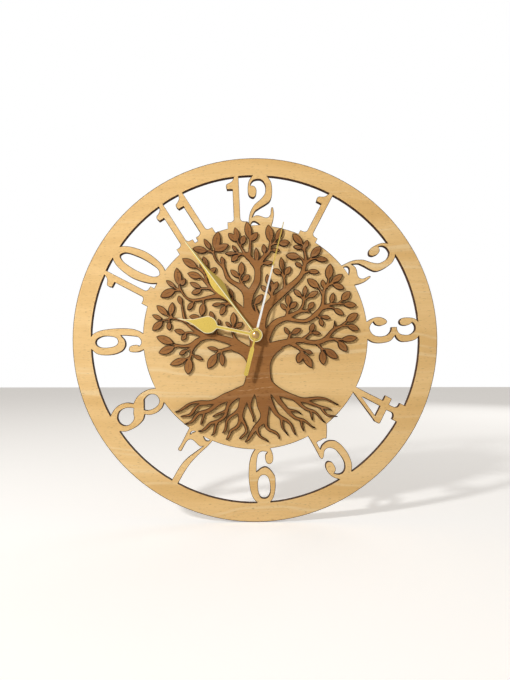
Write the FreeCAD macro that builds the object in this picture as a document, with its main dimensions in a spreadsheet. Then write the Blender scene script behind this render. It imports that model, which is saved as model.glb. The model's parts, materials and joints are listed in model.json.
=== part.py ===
import FreeCAD, Part
import math
import os
import re
from types import SimpleNamespace

import Sketcher
from FreeCAD import Rotation, Vector

# A round plywood wall clock. One sheet of plywood holds the outer ring, the twelve cut-out
# figures and the inner disc. A brown plywood tree is glued on the disc, and a quartz movement
# behind it turns three gold hands.
#
# Each piece is drawn as the clock is seen from the front: x to the right, y up, and z is the
# depth in front of the wall. UPRIGHT then stands it up, with z of the model as its height.
# The origin is on the hands' axis, in the plane of the wall.

DIAL_SIZES = {
    "ring_outer_radius": 150.0,
    "ring_width": 14.95,
    "disc_radius": 92.45,
    "dial_thickness": 4.0,
    "figure_root": 2.0,
    "figure_lead_angle": 2.45,
    "tree_thickness": 2.0,
    "dial_hole_clearance": 0.15,
}
HAND_SIZES = {
    "hour_hand_length": 65.6,
    "hour_hand_width": 14.0,
    "hour_collar_radius": 5.5,
    "minute_hand_length": 96.0,
    "minute_hand_width": 9.8,
    "minute_fold_height": 1.0,
    "minute_collar_radius": 4.3,
    "second_hand_length": 95.0,
    "second_tail_length": 34.0,
    "second_tail_width": 3.4,
    "second_hub_radius": 2.4,
    "second_socket_radius": 1.2,
    "second_socket_length": 0.8,
    "hand_thickness": 0.4,
    "hand_gap": 0.6,
    "hand_fit": 0.02,
    "cap_radius": 3.0,
    "cap_rim_height": 0.4,
    "cap_dome_height": 1.4,
}
FIXING_SIZES = {
    "bush_radius": 4.0,
    "bush_flange_radius": 5.5,
    "bush_flange_thickness": 1.0,
    "bush_fit": 0.05,
    "bush_proud": 0.5,
    "rubber_washer_radius": 8.0,
    "rubber_washer_thickness": 1.0,
    "brass_washer_radius": 5.3,
    "brass_washer_thickness": 0.5,
    "nut_radius": 5.3,
    "nut_thickness": 2.0,
    "nut_slot_width": 1.2,
    "nut_slot_depth": 0.8,
    "thread_fit": 0.02,
}
CASE_SIZES = {
    "case_width": 56.0,
    "case_depth": 16.0,
    "case_corner_radius": 3.5,
    "case_wall": 1.2,
    "rear_case_depth": 9.0,
    "bay_wall": 1.0,
    "catch_width": 5.0,
    "catch_height": 1.6,
    "catch_proud": 0.7,
    "strap_thickness": 0.8,
    "strap_reach": 3.4,
    "strap_rim": 1.0,
    "catch_play": 0.1,
    "hanger_width": 18.0,
    "hanger_rise": 8.0,
    "hanger_thickness": 3.0,
    "hanger_hole_radius": 3.0,
    "mark_depth": 0.3,
    "mark_width": 0.9,
    "sign_length": 3.2,
    "sign_drop": 8.8,
    "plus_reach": 22.0,
    "minus_reach": 24.2,
    "panel_width": 18.0,
    "panel_height": 9.0,
    "panel_left": 3.0,
    "panel_low": 4.5,
    "arrow_radius": 7.6,
    "arrow_sweep_angle": 55.0,
    "arrow_head_angle": 14.0,
    "arrow_head_width": 2.6,
    "rear_boss_radius": 1.5,
    "rear_boss_height": 1.2,
    "front_boss_radius": 1.5,
    "front_boss_height": 1.6,
}
TRAIN_SIZES = {
    "second_module": 0.25,
    "third_module": 0.27,
    "step_module": 0.22,
    "motion_module": 0.35,
    "wheel_thickness": 0.6,
    "layer_gap": 0.8,
    "train_rise": 0.6,
    "pinion_margin": 0.2,
    "arbor_radius": 0.5,
    "pivot_radius": 0.4,
    "shoulder_play": 0.2,
    "running_fit": 0.05,
    "minute_tube_radius": 1.55,
    "hour_tube_radius": 2.5,
    "tube_proud": 0.2,
    "bridge_thickness": 1.0,
    "bridge_margin": 3.0,
    "post_radius": 1.8,
    "screw_radius": 0.8,
    "screw_head_radius": 1.5,
    "screw_head_height": 0.8,
    "screw_grip": 3.0,
    "screw_fit": 0.05,
    "screw_slot_width": 0.4,
    "screw_slot_depth": 0.4,
    "third_bearing_angle": 70.0,
    "step_bearing_angle": -20.0,
    "rotor_bearing_angle": -60.0,
    "motion_bearing_angle": -110.0,
    "knob_bearing_angle": -90.0,
}
KNOB_SIZES = {
    "knob_radius": 4.5,
    "knob_thickness": 2.6,
    "knob_sink": 0.4,
    "knob_shaft_radius": 1.0,
    "knob_flute_radius": 0.5,
    "knob_slot_width": 1.0,
    "knob_slot_depth": 0.6,
    "well_gap": 0.7,
    "well_wall": 1.0,
    "well_floor_gap": 0.4,
}
MOTOR_SIZES = {
    "magnet_radius": 2.5,
    "magnet_gap": 0.4,
    "stator_thickness": 1.4,
    "stator_rim": 1.7,
    "stator_arm_width": 4.0,
    "stator_arm_lift": 2.2,
    "core_height": 22.0,
    "core_left": 19.75,
    "core_right": 7.75,
    "core_width": 3.0,
    "core_thickness": 2.0,
    "core_end_radius": 2.25,
    "coil_left": 15.0,
    "coil_right": 3.0,
    "coil_radius": 3.2,
    "bobbin_wall": 0.6,
    "bobbin_flange_thickness": 0.9,
    "bobbin_flange_radius": 3.6,
}
ELECTRIC_SIZES = {
    "cell_radius": 7.25,
    "cell_length": 49.5,
    "cell_nub_radius": 2.75,
    "cell_nub_length": 1.0,
    "cell_play": 0.2,
    "cell_end_play": 0.55,
    "contact_thickness": 0.4,
    "contact_width": 9.0,
    "contact_height": 10.0,
    "contact_strip_width": 3.0,
    "contact_touch_gap": 0.1,
    "contact_button_radius": 2.0,
    "contact_foot": 2.0,
    "contact_strip_back": 4.0,
    "contact_riser_place": 22.0,
    "spring_width": 6.0,
    "board_width": 10.5,
    "board_height": 13.5,
    "board_thickness": 1.0,
    "board_gap": 1.2,
    "board_lift": 1.8,
    "board_peg_radius": 1.5,
    "chip_radius": 2.5,
    "chip_height": 1.0,
    "can_radius": 1.4,
    "can_length": 6.0,
    "part_gap": 0.02,
}
# Places on the board, and the battery spring's outline, as shares of their own room.
CHIP_SHARE, CAN_SHARE = (0.66, 0.62), (0.22, 0.2)
SPRING_SHARES = [(0, -1), (1, -0.1), (1, 0.1), (0.35, 0.8), (0, 0.78), (0.65, 0.1),
                 (0.65, -0.1), (0, -0.7)]

GROUPS = [DIAL_SIZES, HAND_SIZES, FIXING_SIZES, CASE_SIZES, TRAIN_SIZES, KNOB_SIZES,
          MOTOR_SIZES, ELECTRIC_SIZES]

# The numbers of teeth make the hands run at 1, 1/60 and 1/720 turns.
SECOND_WHEEL_TEETH, STEP_PINION_TEETH = 60, 15
THIRD_WHEEL_TEETH, SECOND_PINION_TEETH = 60, 8
STEP_WHEEL_TEETH, ROTOR_PINION_TEETH = 60, 8
CENTRE_WHEEL_TEETH, THIRD_PINION_TEETH = 64, 8
MOTION_WHEEL_TEETH, CANNON_PINION_TEETH = 36, 12
HOUR_WHEEL_TEETH, MOTION_PINION_TEETH = 40, 10
KNOB_PINION_TEETH = 10
KNOB_FLUTES = 18
TOOTH_ADDENDUM_SHARE = 0.8
TOOTH_DEDENDUM_SHARE = 1.2
TOOTH_WIDTH_SHARE = 0.40
PRESSURE_ANGLE = math.radians(22)
FLANK_STEPS = 3

# The hands as they stand, each angle in degrees clockwise from twelve.
HOUR_HAND_ANGLE, MINUTE_HAND_ANGLE, SECOND_HAND_ANGLE = 282.0, 323.0, 13.9

UPRIGHT = Rotation(Vector(1, 0, 0), 90)

# Figures. Their outlines are read in squares of a drawing grid, x across the figure and y out
# from the dial's centre, with y below zero where the figure's foot points away from the centre.
# The disc's edge lies at FOOT_SHARE squares and the ring's inner edge at HEAD_SHARE squares.
# An outline is a list of stretches: one point ends a straight stretch, several make a curve.
FOOT_SHARE, HEAD_SHARE = 92.45, 135.05

ONE_SHARES = dict(left=[
    [(-1, 135)], [(-1.6, 133.2), (-2.8, 131), (-4.8, 129.6), (-6.7, 128.8)],
    [(-7.8, 127.8), (-8.1, 126.3), (-7.7, 124.9), (-7.6, 123.8)], [(-2.7, 123.8)], [(-2.7, 99)],
    [(-3.1, 97.2), (-4.6, 96.1), (-5.9, 95.8)], [(-8, 95.8)], [(-8, 92)]],
    right=[[(2.65, 135)], [(2.75, 99)], [(3.4, 97.2), (4.7, 96.3)], [(8, 95.9)], [(8, 92)]],
    holes=[])
TWO_SHARES = dict(left=[
    [(-5.7, 135)],
    [(-7.5, 133), (-9, 130.5), (-9.8, 127.5), (-10.2, 124), (-10.2, 121), (-9.7, 118.7),
     (-8.6, 117.2), (-7.3, 116.4), (-6, 116.1), (-4.8, 116.7), (-3.6, 118.2), (-3, 120.3),
     (-2.8, 121.8), (-3.3, 124), (-4.6, 125.7), (-6, 126.3)], [(-7.7, 126.5)],
    [(-7, 129), (-5.2, 130.9), (-3, 131.7), (-1, 131.8), (1, 131.4), (3, 129.7), (4.2, 127.5),
     (4.7, 125), (4.6, 122), (4.3, 120), (3.2, 117.8), (1.5, 115.7), (-0.5, 113.8), (-3, 111.8),
     (-5.3, 109.8), (-7.2, 107), (-8.8, 104), (-9.9, 100.5), (-10.4, 97.5), (-10.7, 94.5),
     (-10.9, 92.3)]],
    right=[[(5, 135)],
    [(6.5, 134), (8.2, 131.8), (9.6, 129), (10.2, 125.5), (10.3, 121.5), (10, 118),
     (9.5, 115.8), (8.7, 113.7), (7.3, 111.9), (5.5, 110.6), (3.5, 109.4), (1.5, 108.3),
     (-0.5, 107.3), (-2.3, 106.1), (-4.2, 104.9), (-5.6, 103), (-6.8, 100.8)], [(-7.9, 99.1)],
    [(-6.8, 99.7), (-5, 100.5), (-3.5, 100.8), (-1.5, 100.5), (0.5, 99.8), (2.5, 98.9),
     (4.5, 98.6), (6, 98.9), (7.2, 99.9), (8, 101.5), (8.4, 104), (8.6, 106), (9, 106.9),
     (9.7, 107.2), (10.3, 106.6), (10.7, 104.5), (10.9, 102), (10.6, 99), (10.1, 96.5),
     (9.3, 94), (8.7, 92.3)]],
    holes=[[[(-8.7, 92.3)], [(-8.2, 94.5), (-7, 95.7), (-5.7, 95.8), (-4, 95), (-2.5, 93.9),
     (-1, 92.5)]]])
THREE_SHARES = dict(left=[
    [(-5.7, 135)],
    [(-7.8, 133.3), (-9, 131), (-9.6, 128), (-9.8, 125), (-9.6, 122.5), (-9.1, 121),
     (-8, 119.9), (-6.8, 119.3), (-5.4, 119.4), (-4.3, 120), (-3.6, 121), (-3.2, 122.3),
     (-3, 124), (-3.4, 126.5), (-4.3, 128.4)], [(-5.6, 129.8)],
    [(-4.6, 131), (-3, 131.9), (-1, 132.2), (1, 131.7), (2.8, 130.2), (4.2, 127.8), (4.7, 125.5),
     (4.5, 122.5), (3.9, 120), (2.7, 118.4), (0.8, 117.3), (-2.2, 117)], [(-2.3, 112.4)],
    [(-0.5, 112.2), (1, 111.6), (2.4, 110.6), (3.4, 109.4), (4.1, 108.3), (4.6, 106.5), (5, 104),
     (4.9, 101.5), (4.4, 99), (3.2, 97), (1.5, 95.5), (-0.5, 94.6), (-2, 94.4), (-3.8, 94.8),
     (-5.4, 95.7), (-6.6, 96.9)], [(-7.4, 98)],
    [(-5.6, 98.9), (-4.6, 99.9), (-4, 101.5), (-3.7, 103.5), (-4.2, 105.8), (-5, 107.7),
     (-6.8, 109.1), (-8.6, 108.3), (-10, 106.3), (-10.9, 103.8), (-11.1, 101.2), (-10.6, 98.3),
     (-9.8, 96), (-8.8, 94.3), (-7.8, 92.4)]],
    right=[[(5.7, 135)],
    [(7, 134), (8.6, 132), (9.7, 129.3), (10.3, 126), (10.4, 123), (10.2, 120.5), (9.4, 118.7),
     (8.2, 117.2), (6.5, 116)], [(4.3, 115.1)],
    [(6.5, 113.6), (8.3, 112), (9.6, 109.8), (10.3, 107), (10.6, 104), (10.6, 101), (10.2, 98.3),
     (9.5, 96), (8.2, 93.9), (7.1, 92.4)]],
    holes=[])
FOUR_SHARES = dict(left=[
    [(-4.2, -92.3)], [(-16.3, -116.8)], [(-17.4, -118.5)], [(-17.4, -122.2)], [(-16.6, -123)],
    [(-5, -122.9)], [(-4.5, -123.6)], [(-4.4, -127)],
    [(-4.9, -129), (-6.3, -130), (-8, -130.3)], [(-9.3, -130.4)], [(-9.3, -135)]],
    right=[[(0.7, -92.3)], [(0.7, -104)], [(1, -117)], [(5.6, -117)], [(5.6, -122)],
    [(5.3, -122.8)], [(0.4, -122.8)], [(0.2, -124)], [(0.5, -127.3)],
    [(1.4, -129.4), (3, -130.3)], [(5.5, -130.4)], [(5.5, -135)]],
    holes=[[[(-4.6, -100.2)], [(-4.1, -101.5)], [(-4.1, -117)], [(-12.9, -117)],
            [(-12.6, -115.8)]]])
FIVE_SHARES = dict(left=[
    [(-8.1, -92)],
    [(-8.2, -96), (-8.4, -100), (-8.6, -104), (-8.9, -108), (-9.2, -111), (-9.2, -112.2),
     (-9, -113), (-8.2, -113.5), (-7.4, -113.3), (-6.4, -112.8), (-5.4, -111.6), (-4.3, -110.3),
     (-3, -109.1), (-1, -108.6), (1, -109), (2.7, -110.2), (4, -111.9), (5, -114.3), (5.4, -117),
     (5.7, -120), (5.7, -123), (5.2, -126), (4.2, -128.3), (3, -129.9), (1.2, -131.2),
     (-0.5, -131.7), (-2, -131.6), (-3.8, -130.9), (-5.2, -129.8)], [(-6.7, -128.2)],
    [(-5.7, -128), (-4, -127), (-3, -124.8), (-2.7, -122), (-3.1, -120), (-4, -118.9),
     (-5, -118.1), (-6.3, -117.8), (-7.6, -118.2), (-9, -119.5), (-9.9, -121.5), (-10.2, -124),
     (-10, -127), (-9, -130), (-7.8, -132), (-6.4, -133.6), (-5.3, -134.8)]],
    right=[[(10, -92.2)],
    [(8.5, -94.8), (7, -97.2), (5.5, -99.3), (4.2, -101)], [(3.2, -101.8)],
    [(2.5, -100.9), (1, -100.4), (-1, -100.4), (-3, -100), (-5, -100.3)], [(-5.2, -102)],
    [(-5.3, -105)], [(-5.4, -106.4)],
    [(-4.4, -105.6), (-3, -104.6), (-1, -104), (1, -103.7), (3, -103.9), (4.6, -104.3),
     (6.2, -105.2), (7.8, -106.3), (9.2, -107.9), (10.2, -110), (10.8, -111.5), (11.5, -115),
     (11.8, -119), (11.6, -123), (10.8, -127), (9.5, -130.5), (8, -132.8), (6.6, -134.4)]],
    holes=[])
SIX_SHARES = dict(left=[
    [(-4.6, -92.5)],
    [(-6.2, -94.6), (-7.7, -97.3), (-8.9, -100.5), (-9.8, -104.5), (-10.3, -109), (-10.6, -114),
     (-10.4, -119), (-9.8, -124), (-8.9, -128), (-7.7, -130.9), (-6.3, -133), (-4.6, -134.7)]],
    right=[[(8, -92.4)],
    [(9, -94.5), (9.8, -97), (10, -99.5), (9.7, -102), (8.7, -103.7), (7.4, -104.5), (6, -104.6),
     (4.6, -103.8), (3.7, -102), (3.4, -99.5), (3.7, -97.4), (4.6, -96.2)], [(5.6, -94.9)],
    [(3, -94.4), (1, -94.3), (-0.6, -94.9), (-1.9, -96.2), (-2.8, -98.5), (-3.4, -101.5),
     (-3.8, -105), (-4, -108.5)], [(-4.3, -110.4)],
    [(-2.5, -109.3), (-0.8, -108), (0.8, -107.2), (2.4, -106.8), (4.2, -107), (6, -108),
     (7.8, -109.8), (9.3, -112), (10.7, -114.5), (11, -118), (10.9, -122), (10.3, -126.5),
     (9.2, -130.2), (7.8, -132.8), (6.3, -134.4)]],
    holes=[[[(1.5, -113.1), (4.2, -114.2), (5.7, -117), (6.5, -122.4), (5.9, -128.2),
             (4.2, -130.8), (1.5, -131.7), (-1.2, -130.8), (-2.7, -128.2), (-3.4, -122.4),
             (-2.8, -117), (-1.2, -114.2)]]])
SEVEN_SHARES = dict(left=[
    [(-13, -92)], [(-13, -98)],
    [(-12.9, -104), (-13, -108), (-13.2, -110.3), (-12.9, -111), (-11.6, -111.4),
     (-10.4, -111.2), (-10.1, -110)], [(-10.1, -106)],
    [(-9.9, -103), (-9.2, -100.7), (-8, -99.4), (-6.5, -98.9), (-5, -99), (-3, -99.5),
     (-1, -100.2), (0.8, -100.6), (2, -100.6), (3.2, -99.9)], [(4.3, -98.8)],
    [(3.4, -100.5), (2.4, -102.5), (1, -105.3), (-0.8, -108.8), (-2.3, -111.8), (-3.6, -115),
     (-4.5, -118), (-5.1, -121), (-5.5, -124.5), (-5.7, -128), (-5.8, -135)]],
    right=[[(8.5, -92.2)],
    [(7.9, -95), (7, -98), (5.7, -101.5), (4.4, -105), (3.2, -108.5), (2.2, -112), (1.3, -115.5),
     (0.7, -119), (0.3, -122.5), (0, -126), (-0.1, -130), (-0.2, -135)]],
    holes=[[[(-10.2, -95.7)], [(-10, -93.5), (-9.3, -92.3)], [(-7.2, -91.6)],
            [(-8, -92.8), (-9, -93.8), (-9.5, -95.5)]],
           [[(0, -92.2)], [(1.4, -93.2), (3, -94.2), (4.4, -94.3), (5.6, -93.7), (6.4, -92.3)]]])
EIGHT_SHARES = dict(left=[
    [(-7.2, -92)],
    [(-8.5, -94), (-9.7, -97), (-10.3, -100), (-10.4, -103.5), (-9.9, -107), (-9, -109.7),
     (-7.7, -112)], [(-6.5, -113.8)],
    [(-8.3, -115.7), (-9.7, -117.3), (-10.9, -119.6), (-11.6, -122), (-11.8, -124.5),
     (-11.5, -127), (-10.8, -129.5), (-9.7, -132), (-8, -134.5)]],
    right=[[(6, -92.3)],
    [(7.4, -93.8), (8.8, -96), (9.6, -98.7), (9.9, -101.5), (9.6, -104), (8.8, -106.5),
     (7.6, -108.6)], [(5.7, -110.5)],
    [(7.2, -112), (8.6, -113.6), (9.7, -116), (10.4, -119), (10.7, -122.5), (10.5, -126),
     (10, -128.8), (9, -131.5), (7.5, -133.5), (6.8, -134.6)]],
    holes=[[[(-5.8, -99.5)], [(-5.6, -102.3), (-4.7, -104.8)], [(2.3, -109)],
            [(3.8, -107.5), (5, -105), (5.6, -102), (5.4, -98.5), (4.3, -96), (2.3, -94.5),
             (0, -94.2), (-2.5, -94.7), (-4.5, -96.5), (-5.8, -99.5)]],
           [[(-3.3, -115.5)],
            [(-1.5, -116.7), (1, -118.3), (3.5, -119.3), (5, -121), (5.9, -123.5), (6.1, -125.5),
             (5.5, -128), (4, -129.8), (2, -131), (-0.5, -131.4), (-3, -131), (-5.3, -129.4),
             (-6.9, -127.2), (-7.4, -124.5), (-7, -121.5), (-5.8, -118.9), (-4.5, -117)]]])
NINE_SHARES = dict(left=[
    [(-5.6, 134.8)],
    [(-7.5, 133), (-9.3, 130.8), (-10.5, 127.5), (-10.9, 124), (-10.9, 120), (-10.6, 117),
     (-9.8, 113.8), (-9.3, 112.5), (-8.4, 110.6), (-7, 108.9), (-5.3, 107.7), (-3.5, 107),
     (-1.5, 106.9), (0.3, 107.3), (2, 108.2), (3.5, 109.5)], [(5, 110.8)],
    [(4.7, 107), (4.2, 103), (3.6, 99), (3, 96.8), (1.8, 95.2), (0, 94.2), (-1.8, 94),
     (-3.5, 94.8)], [(-4.9, 95.9)],
    [(-3.9, 96.5), (-3.4, 98), (-3.5, 100), (-4, 102.2), (-5, 103.6), (-6.5, 104.2), (-8, 104),
     (-9, 103), (-9.4, 101), (-9.5, 98), (-9, 95.3), (-8.3, 93.6), (-7.6, 92.2)]],
    right=[[(4.8, 135)],
    [(6.5, 133.8), (8, 131.5), (9.2, 128.5), (10, 125), (10.5, 120), (10.8, 114), (10.7, 108),
     (10.2, 103), (9.4, 99), (8.4, 96.5), (7.2, 94.3), (5.7, 92.4)]],
    holes=[[[(0, 131.3), (2, 130.6), (3.6, 128.5), (4.6, 125.5), (4.8, 122), (4.4, 118.8),
             (3.4, 115.5), (2, 113.6), (0, 113), (-1.8, 113.4), (-3.4, 115.2), (-4.3, 118),
             (-4.7, 121.5), (-4.6, 125), (-3.8, 128.3), (-2.2, 130.6)]]])
ZERO_SHARES = dict(left=[
    [(4, 136)], [(0.2, 132.6), (-2.6, 126.6), (-4.2, 119.4), (-4.8, 113), (-4.2, 106.6),
     (-2.6, 99.4), (0.2, 93.4), (4, 90)]],
    right=[[(11, 136)], [(14.8, 132.6), (17.6, 126.6), (19.2, 119.4), (19.8, 113),
     (19.2, 106.6), (17.6, 99.4), (14.8, 93.4), (11, 90)]],
    holes=[[[(7.9, 130.5), (10.6, 128.6), (12.6, 122.2), (13.4, 112.3), (12.6, 102.4),
             (10.6, 96), (7.9, 94.1), (5.2, 96), (3.2, 102.4), (2.4, 112.3), (3.2, 122.2),
             (5.2, 128.6)]]])

# Each hour has its figures and how many squares each stands right of its hour's own line.
HOUR_FIGURE_SHARES = {
    1: [(ONE_SHARES, 0.35)],
    2: [(TWO_SHARES, 0)],
    3: [(THREE_SHARES, 0)],
    4: [(FOUR_SHARES, 0)],
    5: [(FIVE_SHARES, 0)],
    6: [(SIX_SHARES, 0)],
    7: [(SEVEN_SHARES, 0)],
    8: [(EIGHT_SHARES, 0)],
    9: [(NINE_SHARES, 0)],
    10: [(ONE_SHARES, -12.0), (ZERO_SHARES, 0)],
    11: [(ONE_SHARES, -9.0), (ONE_SHARES, 10.0)],
    12: [(ONE_SHARES, -11.3), (TWO_SHARES, 8.9)],
}

# The tree, in squares of a grid that has TREE_GRID_SHARE squares from the dial's centre to the
# disc's edge. A leaf is its base point, its tip point and its width.
TREE_GRID_SHARE = 92.45
LEAF_SHARES = [
    # upper left
    (-33.9, 71, -31, 86.8, 7.0), (-37, 71.2, -43, 80.5, 4.3), (-39.5, 70, -52.5, 72.3, 6.0),
    (-34, 70, -22.3, 75.8, 6.3), (-26.5, 58.5, -28.3, 65.6, 4.0), (-48, 56, -60.8, 63.8, 6.5),
    (-44.5, 48, -56.4, 51.5, 6.0), (-39.8, 57, -43.5, 65.7, 4.5), (-42.8, 52, -46.3, 59.5, 3.0),
    (-39, 51, -32.3, 56.2, 4.5), (-63, 41, -65.2, 56.2, 6.5), (-66, 39.5, -73.9, 45.6, 4.0),
    (-61.5, 40.8, -58, 47.2, 4.2), (-65.8, 38, -78.5, 31.8, 7.0), (-45, 39.3, -54.5, 43.8, 4.5),
    (-44.5, 37.5, -53, 34.8, 4.8),
    # left
    (-51, 27.5, -56, 21, 4.5), (-43, 27, -44.6, 15.8, 5.6), (-45.5, 15, -54.7, 15.6, 4.5),
    (-34.5, 13.5, -37.4, 20, 4.0), (-29, 9.5, -30.8, 13.4, 3.0), (-27.5, 26.3, -36, 24.8, 3.5),
    (-25, 24.8, -29, 16.6, 5.0), (-18.3, 7.6, -18.2, 19.3, 5.6), (-16.5, 6.5, -10.5, 10.5, 4.6),
    (-20.3, 7, -24.8, 11.2, 3.5), (-18.7, 31.6, -21.6, 38.9, 3.5), (-61.2, 25.3, -63.3, 33, 4.3),
    (-72, 16.5, -81.4, 24.8, 5.6), (-70, 16, -68.2, 27.4, 5.2), (-76.5, 13, -85, 16.9, 4.0),
    (-76, 11.8, -84.6, 4.2, 6.0), (-71, 11.5, -70.8, 3.9, 4.4), (-67, -6.5, -81.3, -1, 6.8),
    (-66, -9.3, -79.3, -14.5, 6.8), (-57.5, 2, -66.9, 4.2, 4.6), (-56.5, 1.2, -60.8, -4, 4.3),
    (-56.5, -12, -62.5, -15.8, 4.0), (-51.3, -16.2, -42.9, -19.8, 3.8),
    (-55.5, -18.8, -70, -24, 5.8), (-54, -18.5, -55.3, -32, 7.2), (-30, -12, -39.8, -9.8, 3.8),
    (-31.8, -14.8, -39.1, -27.2, 7.0), (-28, -14, -27, -25.3, 5.0),
    # top
    (-15.5, 78.3, -22.8, 85.2, 5.2), (-14.3, 79.5, -17.2, 90.2, 4.8), (-11.8, 75.5, -9.2, 83.4, 5.4),
    (-5.3, 80, -7.2, 95.4, 6.2), (-4.3, 78.5, 1.8, 86, 5.4), (-16, 68.3, -25.6, 68, 3.6),
    (-15.4, 69.3, -19.4, 75, 3.4), (-14.3, 67, -20.2, 61.5, 5.0), (1.2, 60.5, 0.3, 73.3, 4.6),
    (12.6, 77.5, 10.5, 92.6, 7.0), (7.3, 68, 6.7, 76.1, 4.4), (16.5, 79, 22.3, 90, 5.6),
    (19, 76.5, 28.6, 77.6, 5.8), (13, 71, 20.3, 70.8, 4.0), (5.5, 60, 14.8, 60.5, 4.2),
    (-12, 49.3, -11.6, 61.3, 5.8), (-13.5, 48, -21, 54.5, 4.8), (-10.5, 45, -5, 50.4, 5.2),
    (10.3, 42, 9.5, 51, 4.2), (9.5, 36.5, 4.4, 41.2, 4.2), (13.5, 38, 13.2, 46, 3.2),
    (15.3, 37.5, 18, 44.8, 4.6), (22.3, 53, 21.1, 65.2, 4.8), (21.5, 51, 14.2, 54.8, 5.2),
    (24.2, 50, 28.9, 57.3, 5.2), (-0.8, 25.5, 6, 34, 5.8),
    # upper right
    (39, 75.5, 30.8, 85, 6.2), (39, 72.6, 31.1, 74.2, 3.8), (41, 72.5, 43.2, 79.6, 4.6),
    (45.8, 65, 54.2, 74.2, 6.6), (49.5, 63.8, 60, 62.9, 4.8), (37, 65.2, 24.9, 66.8, 6.2),
    (38.6, 57, 32.6, 60.4, 4.0), (43, 53.5, 53, 52.5, 4.4), (60, 46, 62, 59.8, 6.8),
    (62.5, 43.8, 72.2, 50.8, 5.6), (63.5, 42.5, 73.5, 38.9, 5.4), (52.5, 39.5, 42.6, 47, 6.4),
    (56.5, 39, 55.2, 46.5, 4.2),
    # right
    (38, 32, 31.4, 38, 4.6), (40.3, 32, 41.2, 41.5, 4.2), (42.5, 31.5, 51.8, 36.5, 5.2),
    (27, 24, 26.8, 34.4, 5.2), (25.8, 21, 20.2, 26.5, 4.2), (28.3, 22.3, 34, 27.8, 5.0),
    (43.5, 21.8, 48, 27.6, 5.0), (62.3, 26.5, 64.3, 35.6, 4.6), (71, 28.8, 78, 36.6, 6.4),
    (72, 26, 83.5, 24.8, 5.4), (64.3, 22.3, 72.7, 17, 5.0), (53.5, 15.7, 61.9, 14.3, 3.8),
    (52.8, 14.3, 55.3, 7.2, 4.2), (45, 3, 47.8, 10.2, 4.8), (45.8, 2.3, 53.6, 1.7, 3.6),
    (29, 1.5, 37.5, 5.6, 5.0), (27.6, 0.5, 23.5, 7, 3.8), (74.5, 11.3, 84.2, 18.4, 6.6),
    (75.3, 8.6, 85.2, 4.6, 5.4), (70, -3.5, 83.8, -1.8, 5.8), (67.5, -4.5, 75, -13.2, 6.2),
    (56.5, -10.8, 67.2, -19, 6.4), (54.5, -12, 55.4, -24.2, 6.3), (39.8, -12.3, 46.8, -14.8, 3.8),
    (37.2, -13.5, 34.5, -22.9, 6.0), (39, -14.5, 46.2, -26.8, 6.2),
]

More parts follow.
